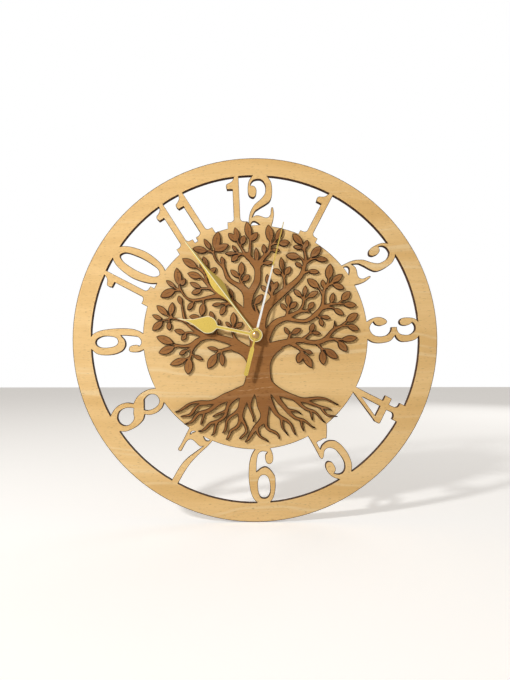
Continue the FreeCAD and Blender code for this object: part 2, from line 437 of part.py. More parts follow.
# A limb or root is the points along its middle, each with its width there.
TRUNK_LEFT_SHARES = [(-7, 13), (-5, 6), (-5, -2), (-5, -10), (-6, -16), (-7, -22), (-7.5, -30),
                     (-8.6, -36), (-10, -40), (-13, -43.6), (-18, -46)]
TRUNK_RIGHT_SHARES = [(8.2, 5.2), (10.6, 0), (11.8, -5.9), (12.5, -12), (12.5, -20), (12, -28),
                      (12.6, -34), (13.5, -38), (16, -41.4), (20, -44.5)]
LIMB_SHARES = {
    "left arch": [(-19.5, -11.6, 2.6), (-16.6, -11.9, 3.4), (-10.4, -15.2, 3.6),
                  (-6.7, -20.2, 3.2), (-5.6, -25.5, 2.6)],
    "right arch": [(21.5, -9.6, 3), (17.3, -12.2, 3.6), (13.6, -15.9, 3.8),
                   (11.2, -21, 3.4), (10.6, -26, 2.8)],
    "middle": [(-1.5, 10, 11), (-4.5, 18, 9.5), (-6.4, 24, 7.6), (-6.4, 30, 7.4),
               (-9, 37.6, 6.6), (-14, 41.3, 4.6), (-18.6, 43.9, 3.8), (-23.7, 48.7, 3.5),
               (-26.6, 56.2, 2.8), (-31.6, 61.2, 2), (-34.1, 65.3, 2), (-34.5, 71, 1.8)],
    "middle fork": [(-34.3, 67.5, 1.8), (-36.5, 69.6, 1.8), (-38, 71.5, 1.6)],
    "middle fork low": [(-35.4, 69.4, 1.8), (-41.4, 70.4, 1.6)],
    "middle twig": [(-26.2, 56, 2), (-26.4, 59.5, 1.6)],
    "upper stem": [(-6.8, 33, 4.4), (-8, 38, 2.9), (-11.2, 42.8, 2.5), (-12.8, 46.2, 2.2),
                   (-12.1, 50.5, 1.8)],
    "upper left twig": [(-12.6, 46.4, 1.8), (-13.9, 48.6, 1.6)],
    "upper right twig": [(-12, 44, 1.8), (-10, 45.6, 1.6)],
    "crown": [(-5.4, 30, 7), (-4, 35, 6.2), (-1, 40.5, 6), (1.2, 45.5, 5.8), (1.8, 50.5, 5.6),
              (1.2, 56, 5.4), (-2.3, 61, 5), (-5.8, 66, 3.8), (-8, 69, 2.6)],
    "crown left": [(-5.8, 63, 4), (-5.2, 67, 3), (-4.7, 71, 2.6), (-4.5, 76.2, 2.2),
                   (-4.9, 81.5, 2)],
    "crown far left": [(-6.6, 64.6, 3.4), (-9.1, 68, 2.6), (-11.6, 72.4, 2.1),
                       (-13.7, 75.6, 2), (-15, 79.6, 1.8)],
    "crown far left twig": [(-12.8, 73.6, 1.8), (-11, 78, 1.6)],
    "crown outer bud": [(-13.6, 67.2, 1.8), (-16.2, 70.8, 1.6)],
    "crown outer": [(-5.3, 63.4, 3.4), (-9.3, 66.9, 2.2), (-12.4, 68, 2), (-16.8, 68.3, 1.6)],
    "crown outer twig": [(-12, 67.6, 1.8), (-14.8, 66, 1.6)],
    "crown right": [(1.6, 55, 5), (3, 59, 4.6), (4.9, 62.6, 4), (7.7, 66.1, 3.6),
                    (10.8, 69.3, 3), (11.8, 73, 2.6), (12.6, 78.5, 2.2)],
    "crown right twig": [(12.2, 74.5, 2), (15.2, 76.2, 1.9), (20, 76.7, 1.6)],
    "crown right tip": [(14.2, 76, 1.8), (17, 79.8, 1.6)],
    "crown small": [(3.4, 57.6, 2.2), (6.4, 60, 1.8)],
    "crown mid": [(1.4, 56, 2.4), (1.2, 61.5, 1.8)],
    "crown twig": [(7, 66, 2), (7.3, 69.5, 1.6)],
    "crown end": [(11, 70.2, 2), (14, 71, 1.6)],
    "left high": [(-1, 8, 7), (-6, 14.4, 6.2), (-11, 20, 5.8), (-16, 25, 5.2), (-21, 29, 4.8),
                  (-27, 31.8, 4.5), (-34, 32.3, 3.8), (-40, 31, 3), (-46.2, 29.5, 2.7),
                  (-52, 29.1, 2.4), (-56.2, 30.5, 2.2), (-59, 33.2, 2), (-61.2, 36.6, 2),
                  (-62.6, 39.6, 1.9), (-63.3, 43, 1.8)],
    "left high tip": [(-62, 37.5, 1.8), (-64.4, 38.6, 1.8), (-67.5, 39.6, 1.6)],
    "left high end": [(-61.4, 37.4, 1.8), (-68, 36.9, 1.6)],
    "left high fork": [(-27, 32.5, 3.6), (-32.6, 35.9, 3.2), (-36.6, 38.6, 2.8),
                       (-38.9, 41.8, 2.5), (-40.5, 45.8, 2.3), (-42.8, 51.2, 2.1),
                       (-45.6, 54, 2), (-49, 56.5, 1.8)],
    "left high fork twig": [(-38.4, 40.4, 2.2), (-42, 44.8, 2), (-45.4, 48.3, 1.8)],
    "left high fork leaf": [(-42, 49.4, 1.8), (-42.9, 53, 1.4)],
    "left high fork up": [(-42.6, 51, 1.8), (-40, 54, 1.6), (-39.8, 58, 1.4)],
    "left high fork in": [(-41, 48, 1.8), (-38.4, 51.6, 1.6)],
    "left high branch": [(-31.5, 35.1, 2.4), (-37, 38.3, 2), (-41, 38.9, 1.9), (-46, 38.6, 1.8)],
    "left high low": [(-15.5, 25, 3), (-21, 26, 2.4), (-24.4, 26.3, 2.1), (-28.2, 26.3, 1.8)],
    "left high drop": [(-22.6, 26.2, 2), (-25.2, 24.4, 1.8)],
    "left high bud": [(-19, 27.6, 2.2), (-18.7, 32.6, 1.6)],
    "left high leaf": [(-43, 30.4, 2), (-43, 26.2, 1.7)],
    "left high second": [(-50, 29.4, 2), (-51.4, 26.7, 1.6)],
    "left low": [(-3, -14, 8), (-8, -11.6, 7.6), (-13, -8.4, 7), (-20, -5, 6.2), (-30, -2, 5.4),
                 (-38, -1, 4.6), (-44.9, -3, 4), (-48.3, -4.7, 4), (-52, -7.4, 3.6),
                 (-56.6, -8.8, 2.9), (-62.8, -8.4, 2.4), (-67.4, -7, 1.9)],
    "left low rise": [(-36, -1, 3.6), (-42.5, 0.9, 3.2), (-50.3, 4.6, 3), (-55.3, 8.7, 2.6),
                      (-58.7, 11.6, 2.2), (-63.7, 13.3, 1.9), (-68.7, 14.1, 1.7),
                      (-72, 13.3, 1.7), (-77, 12.3, 1.5)],
    "left low rise up": [(-57.4, 10.5, 2.4), (-58.8, 15, 2.4), (-59.9, 20.3, 2), (-60.9, 26.4, 1.7)],
    "left low rise leaf": [(-68, 14, 1.7), (-69.8, 17, 1.6)],
    "left low rise fork": [(-69.3, 14.1, 1.7), (-72.7, 17, 1.6)],
    "left low rise drop": [(-71, 13.6, 1.7), (-71, 10.8, 1.5)],
    "left low twig": [(-42, -1.6, 2.6), (-48, 1.1, 2.3), (-53, 2.2, 2), (-58.4, 1.9, 1.7)],
    "left low end": [(-62, -8.5, 2), (-67, -9.5, 1.6)],
    "left low drop": [(-46.6, -4.5, 3.4), (-50, -8.4, 3), (-52.2, -12, 2.6), (-52.8, -15, 2.4),
                      (-53.4, -17.6, 2.2), (-54, -19.6, 2)],
    "left low drop side": [(-52.4, -10.4, 2), (-57.4, -12.5, 1.6)],
    "left low drop in": [(-52.8, -15.2, 2), (-50.6, -16.5, 1.6)],
    "left low drop out": [(-53.6, -17.6, 2), (-56.6, -19.1, 1.6)],
    "left inner": [(-16, -8.5, 3.6), (-23.5, -11.2, 3.2), (-28.2, -12.6, 2.6), (-32.6, -15.6, 1.8)],
    "left inner drop": [(-27.6, -12.4, 2), (-28, -15.2, 1.8)],
    "left inner leaf": [(-27.6, -12.2, 2), (-31, -11.9, 1.6)],
    "left upright": [(-13.5, -5.5, 3), (-17.2, -2, 2.6), (-18.9, 3, 2.2), (-18.4, 8.6, 2)],
    "left upright twig": [(-18.7, 4.6, 1.8), (-15.7, 7, 1.6)],
    "left upright bud": [(-18.9, 4.6, 1.8), (-21, 7.6, 1.4)],
    "left small": [(-30.5, -1.6, 2.2), (-32.6, 4, 2), (-33.5, 9, 1.8), (-34.9, 14.4, 1.6)],
    "left small twig": [(-33, 6.5, 1.8), (-31, 8.2, 1.6), (-28.6, 10.4, 1.4)],
    "left small out": [(-33.2, 8, 1.8), (-39, 12.6, 1.8), (-46.2, 15, 1.6)],
    "right high": [(4.5, 6, 8), (5.6, 14, 7), (9, 22.6, 7), (14.8, 29, 6.6), (21, 34.4, 6),
                   (27.2, 39.6, 5.2), (33, 44.5, 4.5), (38, 50.5, 4), (40.5, 58, 3.4),
                   (41.5, 63.4, 2.8), (41.2, 67, 2.5), (40.5, 70.5, 2.2), (39.8, 73.6, 1.9),
                   (38.2, 76.8, 1.6)],
    "right high in": [(40.8, 70, 1.8), (38.2, 72.8, 1.6)],
    "right high out": [(40.7, 69.6, 1.8), (41.3, 73.5, 1.6)],
    "right high side": [(40.9, 59, 3), (44.7, 62.6, 2.4), (47.2, 63.6, 2.1), (50.8, 63.8, 1.6)],
    "right high bud": [(44.2, 62.6, 1.8), (46.6, 65.8, 1.6)],
    "right high left": [(40.2, 58.6, 2.4), (38.9, 63, 2), (36, 65.5, 1.7)],
    "right high low": [(39.4, 55, 2), (37.8, 57.6, 1.5)],
    "right high low out": [(38.8, 51, 2.4), (44, 53.6, 1.7)],
    "right high first": [(10.6, 28, 3), (13.2, 32, 2.4), (13.5, 36, 2.2), (13.4, 39.4, 1.8)],
    "right high first left": [(12.8, 33, 2), (10.4, 36.2, 1.8), (8.8, 37.3, 1.6)],
    "right high first up": [(12.4, 34, 1.9), (10.6, 38.6, 1.8), (10.2, 43.5, 1.6)],
    "right high first right": [(13.3, 34.4, 2), (15.9, 38.9, 1.6)],
    "right high second": [(22.6, 36, 3), (23.8, 41, 2.6), (23.7, 45, 2.3), (22.9, 49.4, 2),
                          (22.2, 54.4, 1.6)],
    "right high second left": [(23, 48.6, 1.9), (20.5, 51.6, 1.6)],
    "right high second right": [(23.4, 47, 1.9), (24.9, 51.2, 1.6)],
    "left of the limb": [(2.6, 15, 3), (0.8, 20.5, 2.2), (-1.4, 26.8, 1.8)],
    "right middle": [(7, -3, 9), (10.8, 3.4, 6.6), (14.5, 8.8, 5.6), (20, 12.6, 5), (26, 13.8, 4),
                     (30, 13, 3.5), (34, 12.3, 3), (40, 11.9, 3.2), (45, 13.8, 3.8),
                     (49.6, 17.6, 4.4), (53.4, 21.6, 3.8), (55.1, 25.3, 3.2), (55.7, 29.5, 3),
                     (55.9, 33.7, 2.9), (57.2, 38.7, 2.6), (59.2, 42.4, 2.2), (60.2, 47.4, 1.8)],
    "right middle tip": [(58.4, 39.2, 2.2), (61, 42, 2), (64.6, 42.9, 1.7)],
    "right middle tip up": [(60.6, 41.8, 1.8), (63.4, 44.6, 1.6)],
    "right middle fork": [(55.6, 32.6, 2.4), (54.4, 35.8, 2.2), (51.6, 40, 1.8)],
    "right middle bud": [(56.3, 35.6, 2), (56.6, 40.2, 1.6)],
    "right middle out": [(54, 23.4, 3), (57.6, 24.6, 2.6), (61.4, 25.6, 2.2), (67.6, 26.2, 2),
                         (73.4, 25.9, 1.6)],
    "right middle out up": [(68, 26.4, 1.8), (72, 29.6, 1.6)],
    "right middle out bud": [(60.6, 25.4, 1.9), (62.5, 27.9, 1.6)],
    "right middle under": [(53, 21.4, 2.6), (57, 22.6, 2.3), (60.7, 23.2, 2.1), (65.5, 21.6, 1.7)],
    "right middle twig": [(49.8, 17.6, 2.6), (52.2, 15.2, 2), (54.8, 15.6, 1.6)],
    "right middle drop": [(51.6, 15.6, 1.8), (53.1, 13.2, 1.6)],
    "right inner": [(20, 13, 3.6), (25, 14.6, 3.8), (30.5, 17.3, 3.6), (36.3, 19.8, 3),
                    (41.6, 20.2, 2.2), (45.9, 19.1, 0.7)],
    "right inner up": [(24.6, 14.6, 2.8), (26.1, 18.6, 2.5), (27, 25.4, 1.8)],
    "right inner left": [(26, 18.4, 2), (25.2, 21.8, 1.6)],
    "right inner right": [(26.4, 19.6, 2), (29, 23.1, 1.6)],
    "right inner long": [(34, 19, 2.8), (37.2, 22, 2.6), (39, 25.3, 2.5), (39.6, 29, 2.2),
                         (40.4, 33.6, 1.8)],
    "right inner long left": [(39.4, 29.6, 1.8), (37.2, 32.8, 1.6)],
    "right inner long right": [(39.4, 28.6, 1.9), (43.6, 32.1, 1.6)],
    "right inner end": [(41.4, 20.2, 1.8), (44.1, 22.6, 1.6)],
    "right low": [(8, -12, 10), (13.4, -9.4, 8), (20, -7, 6.4), (28, -5, 5.4), (36, -3.7, 4.6),
                  (42, -5, 3.8), (50, -5.6, 4), (55.6, -4, 4.2), (59.6, -0.4, 3.6),
                  (63, 3.8, 3.2), (66.3, 6.2, 3), (69.9, 7.6, 2.7), (73, 9.9, 2.2),
                  (75.4, 12, 1.8)],
    "right low tip": [(70, 7.8, 2.2), (76.6, 8.1, 1.6)],
    "right low spike": [(64.4, 5, 2.2), (64.9, 8, 1.6), (65.1, 12.4, 0.5)],
    "right low up": [(38, -3.8, 3), (41, -1, 2.5), (43.6, 1, 2.2), (45.6, 4, 1.8)],
    "right low up out": [(43, 0.8, 1.9), (46.8, 2.2, 1.6)],
    "right low bud": [(26.6, -4.6, 2.6), (27.5, -1.3, 2.3), (29.4, 1.7, 1.7)],
    "right low bud left": [(27.6, -1.4, 1.9), (27.3, 1.1, 1.5)],
    "right low out": [(56.4, -4.2, 3), (61.3, -3, 2.7), (65.5, -2.9, 2.4), (71.4, -3.4, 1.8)],
    "right low out drop": [(64.6, -3, 2), (68.2, -5.4, 1.7)],
    "right low drop": [(50.4, -6.4, 2.8), (52.4, -9.2, 2.3), (54.8, -11, 2), (57.4, -11.5, 1.8)],
    "right low drop down": [(53.6, -10, 2), (54.6, -13.4, 1.8)],
    "right low inner": [(28, -6, 3.6), (33.4, -8.8, 3.4), (36.2, -11, 3.1), (37.6, -14.2, 2.2)],
    "right low inner out": [(36, -10.8, 2.2), (40.8, -12.6, 1.7)],
    "right low inner down": [(36.6, -11.6, 2.2), (39.4, -15.2, 1.8)],
}
ROOT_SHARES = {
    "far left": [(-6, -43, 8), (-13, -46, 8), (-19, -48.2, 7), (-26, -50.5, 5.8),
                 (-32, -53.3, 4.5), (-38, -54.6, 3.5), (-44, -54.2, 2.8), (-50, -54.8, 2.3),
                 (-55, -56.6, 2.4), (-58, -58.7, 2.3), (-61.5, -61, 1.8), (-65.5, -62.3, 0.6)],
    "far left fork": [(-37.4, -54.8, 2.4), (-42.4, -56, 2), (-46.2, -56.7, 2.2),
                      (-48.7, -58.8, 2.6), (-50.8, -61.7, 2.9), (-52.8, -64.2, 2.6),
                      (-57, -65.4, 1.8), (-60.8, -66, 0.9)],
    "left": [(-14, -48, 7), (-21.6, -51.6, 4), (-27.8, -54.2, 3.3), (-32, -56.7, 3.4),
             (-34.9, -58.8, 3.5), (-38.3, -61.1, 3.4), (-42.4, -62.3, 3.2), (-45.8, -63.3, 3),
             (-48.7, -65.8, 2.9), (-50.8, -68.8, 2.5), (-53.7, -70.8, 1.8), (-57.6, -72.1, 0.7)],
    "left fork": [(-41.6, -62, 2.8), (-42.8, -67.1, 2), (-43.7, -70, 1.8), (-44.3, -72.5, 0.9)],
    "left inner": [(-15, -49, 6), (-20, -53, 4.4), (-22.8, -57.9, 3.3), (-23.7, -61.7, 3),
                   (-24.9, -65, 3), (-27.8, -67.9, 2.8), (-32, -70, 2.8), (-37, -71.7, 2.6),
                   (-39.5, -74.2, 2.6), (-42.4, -76.7, 2), (-46.6, -77.7, 0.7)],
    "left inner fork": [(-23, -58.4, 2.4), (-26.2, -62.1, 2), (-29.1, -63.3, 1.9),
                        (-32, -64.6, 1.8), (-34.9, -66, 0.7)],
    "left inner drop": [(-30, -69.4, 2.6), (-32.4, -72.9, 2.4), (-33, -75.8, 2.4),
                        (-33.7, -78.8, 2), (-35.8, -81, 0.9)],
    "column left": [(-8, -43, 9), (-9.6, -51, 7), (-11.2, -57, 6), (-12.3, -62, 5),
                    (-12.6, -67, 3.6), (-13.8, -72.3, 3), (-17.2, -75.7, 2.7), (-19.6, -77, 2.5),
                    (-21.6, -80.8, 2.4), (-23.9, -84.4, 0.9)],
    "column left out": [(-12, -57, 4), (-14.4, -61.2, 3.4), (-17, -63.6, 3), (-19.6, -65.2, 2.7),
                        (-22, -67.4, 2.5), (-23.6, -70, 2.3), (-24, -73.3, 2.2),
                        (-24.9, -77.1, 2.1), (-27, -79, 0.9)],
    "column left in": [(-12, -64, 3.4), (-10.4, -69.6, 2.8), (-8.2, -74, 2.5), (-7.6, -78, 2.4),
                       (-10, -81.2, 2.2), (-13.2, -83.9, 0.9)],
    "column thin": [(-4, -43, 8), (-5, -52, 5), (-5.2, -56.6, 3.4), (-4.3, -60.2, 2.3),
                    (-3, -63.5, 2), (-1.9, -66.5, 1.8), (-2, -69.9, 0.9)],
    "column": [(5, -44, 16), (5.6, -52, 11), (6.2, -59, 9.2), (6.9, -65.6, 6.4), (5.2, -69.4, 5.6),
               (1.5, -73.2, 4.6), (-1.8, -77, 3.6), (-4.4, -81.4, 3), (-8.5, -86.5, 1)],
    "column drop": [(1.6, -74, 3), (1.8, -79.6, 2.5), (4.3, -82.6, 2), (7.7, -84.2, 1.6),
                    (10.3, -86.5, 0.7)],
    "column right": [(7, -66, 5), (8, -71, 3.6), (8.8, -74.4, 2.9), (11.6, -76.9, 2.6),
                     (15.5, -78.5, 2.4), (18, -80.8, 2), (19, -83.9, 0.9)],
    "right inner": [(8, -45, 9), (10, -51.4, 6), (12.6, -56.4, 4.5), (14.6, -60.6, 4),
                    (17.4, -64.4, 3.5), (21.5, -67.2, 3.2), (25.8, -69.6, 2.8),
                    (28.8, -73, 2.3), (30.6, -77.5, 1.8), (32.8, -81, 0.7)],
    "right inner drop": [(20, -66.4, 2.8), (21, -71, 2.2), (21.6, -74.8, 1.9),
                         (23.9, -78.1, 1.4), (26.1, -81, 0.7)],
    "right": [(13, -43, 8), (16, -48.4, 5.6), (18.9, -53.4, 4.5), (22.6, -57.6, 4),
              (26.3, -61.9, 3.6), (29.7, -65.3, 3.1), (33.5, -67.6, 2.7), (38.1, -68.7, 2.4),
              (41.9, -71, 2), (44.7, -73.5, 1.6), (48.1, -74.8, 0.7)],
    "right fork": [(26.4, -60.6, 2.6), (30.3, -61.2, 2), (34.8, -62.3, 1.3), (37.1, -64.2, 0.6)],
    "right drop": [(36.2, -68.4, 2.4), (37, -71.4, 2.1), (37.8, -74.8, 1.7), (39, -77.7, 0.7)],
    "far right": [(11, -41, 9), (18, -45.6, 7), (25, -48.6, 5.5), (32, -51, 4.6), (38, -52.4, 3.8),
                  (44, -51.9, 3), (51, -51.1, 2.4), (57, -51.8, 2), (61.5, -53.8, 1.6),
                  (67.5, -56.5, 0.7)],
    "far right inner": [(30, -50.6, 4), (34.6, -54.4, 3.5), (38, -57.8, 3), (41.9, -60.2, 2.7),
                        (47, -61.8, 2.4), (50.3, -64.5, 2), (52.9, -67.7, 1.6),
                        (56.8, -71, 0.7)],
    "far right inner drop": [(44.8, -61.2, 2.2), (45.3, -65.8, 1.7), (46.1, -69, 0.7)],
    "far right middle": [(37, -52.8, 3), (44.5, -55.2, 2.6), (49.7, -57.1, 2.5),
                         (54.2, -58.7, 2.3), (58, -59.4, 1.8), (61.9, -61, 0.6)],
    "far right middle drop": [(53, -58.2, 2.3), (56.1, -63, 2.1), (59.4, -65.3, 1.8),
                              (63.2, -65.8, 1.4), (66.5, -66.1, 0.6)],
}

# Hands. Each is a list of stretches of (distance from the hub, half width), in squares of a
# grid with REACH squares along the hand and HALF squares across half of its greatest width.
HOUR_REACH_SHARE, HOUR_HALF_SHARE = 65.6, 7.0
HOUR_HAND_SHARES = [
    [(0, 1.3)], [(32, 1.3)],
    [(32.4, 2.2), (33, 3), (34, 4.4), (36, 5.9), (38, 6.7), (40, 7), (42, 6.7), (44, 5.9),
     (46, 4.9), (48, 4), (50, 3), (52, 2.2), (54, 1.6), (56, 1.1), (58, 0.75), (62, 0.45)],
    [(65.6, 0.15)]]
MINUTE_REACH_SHARE, MINUTE_HALF_SHARE = 95.0, 4.9
MINUTE_HAND_SHARES = [
    [(0, 2.4)], [(5, 1.5), (9, 1), (14, 0.95)], [(30, 0.95)],
    [(34, 1.2), (40, 2.5), (45, 4.1), (49, 4.8), (51, 4.9), (55, 4.4), (59, 3.2), (63, 2.2),
     (67, 1.6), (75, 1.25), (85, 0.95)], [(95, 0.35)]]
SECOND_REACH_SHARE, SECOND_HALF_SHARE = 93.0, 1.7
SECOND_HAND_SHARES = [[(0, 0.95)], [(93, 0.3)]]
SECOND_TAIL_REACH_SHARE = 34.0
SECOND_TAIL_SHARES = [
    [(0, 0.75)], [(9, 0.75)], [(10.2, 0.9), (11, 1.4), (12.2, 1.7)], [(32.3, 1.7)],
    [(33.2, 1.55), (33.8, 1), (34, 0.05)]]

doc = FreeCAD.newDocument("plywood_wall_clock")
sheet = doc.addObject("Spreadsheet::Sheet", "Sizes")
rows = [pair for group in GROUPS for pair in group.items()]
for row, (name, number) in enumerate(rows, 1):
    sheet.set(f"A{row}", name)
    sheet.set(f"B{row}", str(number))
    sheet.setAlias(f"B{row}", name)
doc.recompute()
size = SimpleNamespace(**{name: float(sheet.get(name)) for name, number in rows})


def place_at(angle, distance, start=(0.0, 0.0)):
    """Return the point at a distance from start, at a clock angle in degrees."""
    turn = math.radians(angle)
    return start[0] + distance * math.sin(turn), start[1] + distance * math.cos(turn)


ring_inner_radius = size.ring_outer_radius - size.ring_width

# Depths of the stack in front of the wall.
split = size.rear_case_depth
front_wall_back = size.case_depth - size.case_wall
dial_back = size.case_depth + size.rubber_washer_thickness
tree_back = dial_back + size.dial_thickness
washer_back = tree_back + size.tree_thickness
nut_back = washer_back + size.brass_washer_thickness
bush_front = nut_back + size.nut_thickness + size.bush_proud
hour_hand_back = bush_front + size.hand_gap
hour_tube_front = hour_hand_back + size.hand_thickness + size.tube_proud
minute_hand_back = hour_tube_front + size.hand_gap
minute_ridge_front = minute_hand_back + size.minute_fold_height + size.hand_thickness
minute_tube_front = minute_ridge_front + size.tube_proud
second_socket_back = minute_tube_front + size.hand_gap
second_hand_back = second_socket_back + size.second_socket_length
cap_back = second_hand_back + size.hand_thickness

# Depths of the gear train's layers.
layer_pitch = size.wheel_thickness + size.layer_gap
rear_boss_front = size.case_wall + size.rear_boss_height
second_layer = rear_boss_front + size.train_rise
third_layer = second_layer + layer_pitch
step_layer = third_layer + layer_pitch
centre_layer = step_layer + layer_pitch
bridge_back = centre_layer + size.wheel_thickness + size.train_rise
bridge_front = bridge_back + size.bridge_thickness
motion_layer = bridge_front + size.train_rise
hour_layer = motion_layer + layer_pitch
front_boss_back = front_wall_back - size.front_boss_height

# Places of the arbors, from the centre distances of the gears that mesh.
centre_module = (size.third_module * (SECOND_PINION_TEETH + THIRD_WHEEL_TEETH)
                 / (THIRD_PINION_TEETH + CENTRE_WHEEL_TEETH))
hour_module = (size.motion_module * (CANNON_PINION_TEETH + MOTION_WHEEL_TEETH)
               / (MOTION_PINION_TEETH + HOUR_WHEEL_TEETH))
third_place = place_at(size.third_bearing_angle,
                       size.third_module * (SECOND_PINION_TEETH + THIRD_WHEEL_TEETH) / 2)
step_place = place_at(size.step_bearing_angle,
                      size.second_module * (SECOND_WHEEL_TEETH + STEP_PINION_TEETH) / 2)
rotor_place = place_at(size.rotor_bearing_angle,
                       size.step_module * (STEP_WHEEL_TEETH + ROTOR_PINION_TEETH) / 2, step_place)
motion_place = place_at(size.motion_bearing_angle,
                        size.motion_module * (CANNON_PINION_TEETH + MOTION_WHEEL_TEETH) / 2)
knob_place = place_at(size.knob_bearing_angle,
                      size.motion_module * (MOTION_WHEEL_TEETH + KNOB_PINION_TEETH) / 2, motion_place)

# Holes for the arbors' pivots and for the screws.
pivot_hole_radius = size.pivot_radius + size.running_fit
screw_hole_radius = size.screw_radius + size.screw_fit

nodes = {}


def stand(label, piece, depth=0.0):
    """Give a finished sub-part its name and stand it upright at its depth."""
    piece.Label = label
    upright = FreeCAD.Placement(UPRIGHT.multVec(Vector(0, 0, depth)), UPRIGHT)
    piece.Placement = upright.multiply(piece.Placement)
    nodes[label] = piece
    return piece


def feature(label, shape, depth=0.0):
    """Make a sub-part from a shape that is built in code."""
    piece = doc.addObject("Part::Feature", label)
    piece.Shape = shape
    return stand(label, piece, depth)


def bound(expression):
    """Return an expression with each size's name pointed at the sheet."""
    return re.sub("|".join(sorted(vars(size), key=len, reverse=True)),
                  lambda match: "Sizes." + match.group(0), expression)


def give(solid, side, length):
    """Bind one side of a primitive to the sheet, or set it where it is worked out in code."""
    if isinstance(length, str):
        solid.setExpression(side, bound(length))
    else:
        setattr(solid, side, length)


def cylinder(name, radius, length, place=(0.0, 0.0), depth=0.0):
    """Add a cylinder along the depth."""
    solid = doc.addObject("Part::Cylinder", name)
    give(solid, "Radius", radius)
    give(solid, "Height", length)
    solid.Placement.Base = Vector(*place, depth)
    return solid


def box(name, width, height, thickness, corner):
    """Add a box from its lowest corner."""
    solid = doc.addObject("Part::Box", name)
    give(solid, "Length", width)
    give(solid, "Width", height)
    give(solid, "Height", thickness)
    solid.Placement.Base = Vector(*corner)
    return solid


def lying(name, radius, length, start):
    """Add a cylinder that lies along x from its start."""
    solid = cylinder(name, radius, length)
    solid.Placement = FreeCAD.Placement(Vector(*start), Rotation(Vector(0, 1, 0), 90))
    return solid


def fused(name, solids):
    """Join solids into one."""
    whole = doc.addObject("Part::MultiFuse", name)
    whole.Shapes = solids
    whole.Refine = True
    return whole


def cut(name, base, tools):
    """Cut all the tools out of the base."""
    result = doc.addObject("Part::Cut", name)
    result.Base = base
    result.Tool = tools[0] if len(tools) == 1 else fused(name + "_tools", tools)
    result.Refine = True
    return result


def origin_plane(body, role):
    """Return one of a body's own origin planes."""
    return next(plane for plane in body.Origin.OriginFeatures if plane.Role == role)


def circle_sketch(body, name, radii, depth=0.0):
    """Draw circles about the body's axis, each radius bound to the sheet."""
    sketch = body.newObject("Sketcher::SketchObject", name)
    sketch.AttachmentSupport = [(origin_plane(body, "XY_Plane"), "")]
    sketch.MapMode = "FlatFace"
    sketch.AttachmentOffset = FreeCAD.Placement(Vector(0, 0, depth), Rotation())
    for number, radius in enumerate(radii):
        sketch.addGeometry(Part.Circle(Vector(), Vector(0, 0, 1), 1 + number), False)
        sketch.addConstraint(Sketcher.Constraint("Coincident", number, 3, -1, 1))
        place = sketch.addConstraint(Sketcher.Constraint("Radius", number, 1.0 + number))
        sketch.setExpression(f"Constraints[{place}]", bound(radius))
    return sketch


def rectangle_sketch(body, name, width, height, depth=0.0, centre=(0.0, 0.0)):
    """Draw a rectangle about a centre, its two sides bound to the sheet."""
    sketch = body.newObject("Sketcher::SketchObject", name)
    sketch.AttachmentSupport = [(origin_plane(body, "XY_Plane"), "")]
    sketch.MapMode = "FlatFace"
    sketch.AttachmentOffset = FreeCAD.Placement(Vector(*centre, depth), Rotation())
    corners = [Vector(-1, -1, 0), Vector(1, -1, 0), Vector(1, 1, 0), Vector(-1, 1, 0)]
    for number in range(4):
        sketch.addGeometry(Part.LineSegment(corners[number], corners[(number + 1) % 4]), False)
    for number in range(4):
        sketch.addConstraint(Sketcher.Constraint("Coincident", number, 2, (number + 1) % 4, 1))
    for number in (0, 2):
        sketch.addConstraint(Sketcher.Constraint("Horizontal", number))
    for number in (1, 3):
        sketch.addConstraint(Sketcher.Constraint("Vertical", number))
    sketch.addConstraint(Sketcher.Constraint("Symmetric", 0, 1, 1, 2, -1, 1))
    place = sketch.addConstraint(Sketcher.Constraint("DistanceX", 0, 1, 0, 2, 2.0))
    sketch.setExpression(f"Constraints[{place}]", bound(width))
    place = sketch.addConstraint(Sketcher.Constraint("DistanceY", 1, 1, 1, 2, 2.0))
    sketch.setExpression(f"Constraints[{place}]", bound(height))
    return sketch


def pad(body, name, sketch, length):
    """Pad a sketch towards the front by a length bound to the sheet."""
    solid = body.newObject("PartDesign::Pad", name)
    solid.Profile = sketch
    solid.setExpression("Length", bound(length))
    body.Tip = solid
    return solid


def pocket(body, name, sketch, length):
    """Cut a sketch into the solid in front of it by a length bound to the sheet."""
    before = body.Shape.Volume
    hole = body.newObject("PartDesign::Pocket", name)
    hole.Profile = sketch
    hole.Reversed = True
    hole.setExpression("Length", bound(length))
    body.Tip = hole
    doc.recompute()
    if body.Shape.Volume >= before:
        raise ValueError(f"{name} removes nothing")
    return hole


def rounded_block(name, width, length, corner):
    """Pad a square about the axis and round its four long edges."""
    body = doc.addObject("PartDesign::Body", name)
    block = pad(body, name + "_pad", rectangle_sketch(body, name + "_sketch", width, width), length)
    doc.recompute()
    rounds = body.newObject("PartDesign::Fillet", name + "_corners")
    long_edges = [f"Edge{number}" for number, edge in enumerate(block.Shape.Edges, 1)
                  if abs(edge.tangentAt(edge.FirstParameter).z) > 0.5]
    rounds.Base = (block, long_edges)
    rounds.setExpression("Radius", bound(corner))
    body.Tip = rounds
    doc.recompute()
    return body


def flat(points):
    """Return points of the drawing plane as vectors."""
    return [Vector(x, y, 0) for x, y in points]


def smooth_edge(points):
    """Join two points by a line, or more by one smooth curve."""
    if len(points) == 2:
        return Part.LineSegment(points[0], points[1]).toShape()
    curve = Part.BSplineCurve()
    curve.interpolate(points)
    return curve.toShape()


def stretch_edges(stretches):
    """Return the edges of an outline and its first and last points."""
    edges = []
    first = last = stretches[0][0]
    for stretch in stretches[1:]:
        edges.append(smooth_edge([last] + stretch))
        last = stretch[-1]
    return edges, first, last


def face_of(edges):
    """Return the flat face inside a closed run of edges, looking to the front."""
    face = Part.Face(Part.Wire(Part.__sortEdges__(edges)))
    if face.normalAt(0, 0).z < 0:
        face.reverse()
    return face


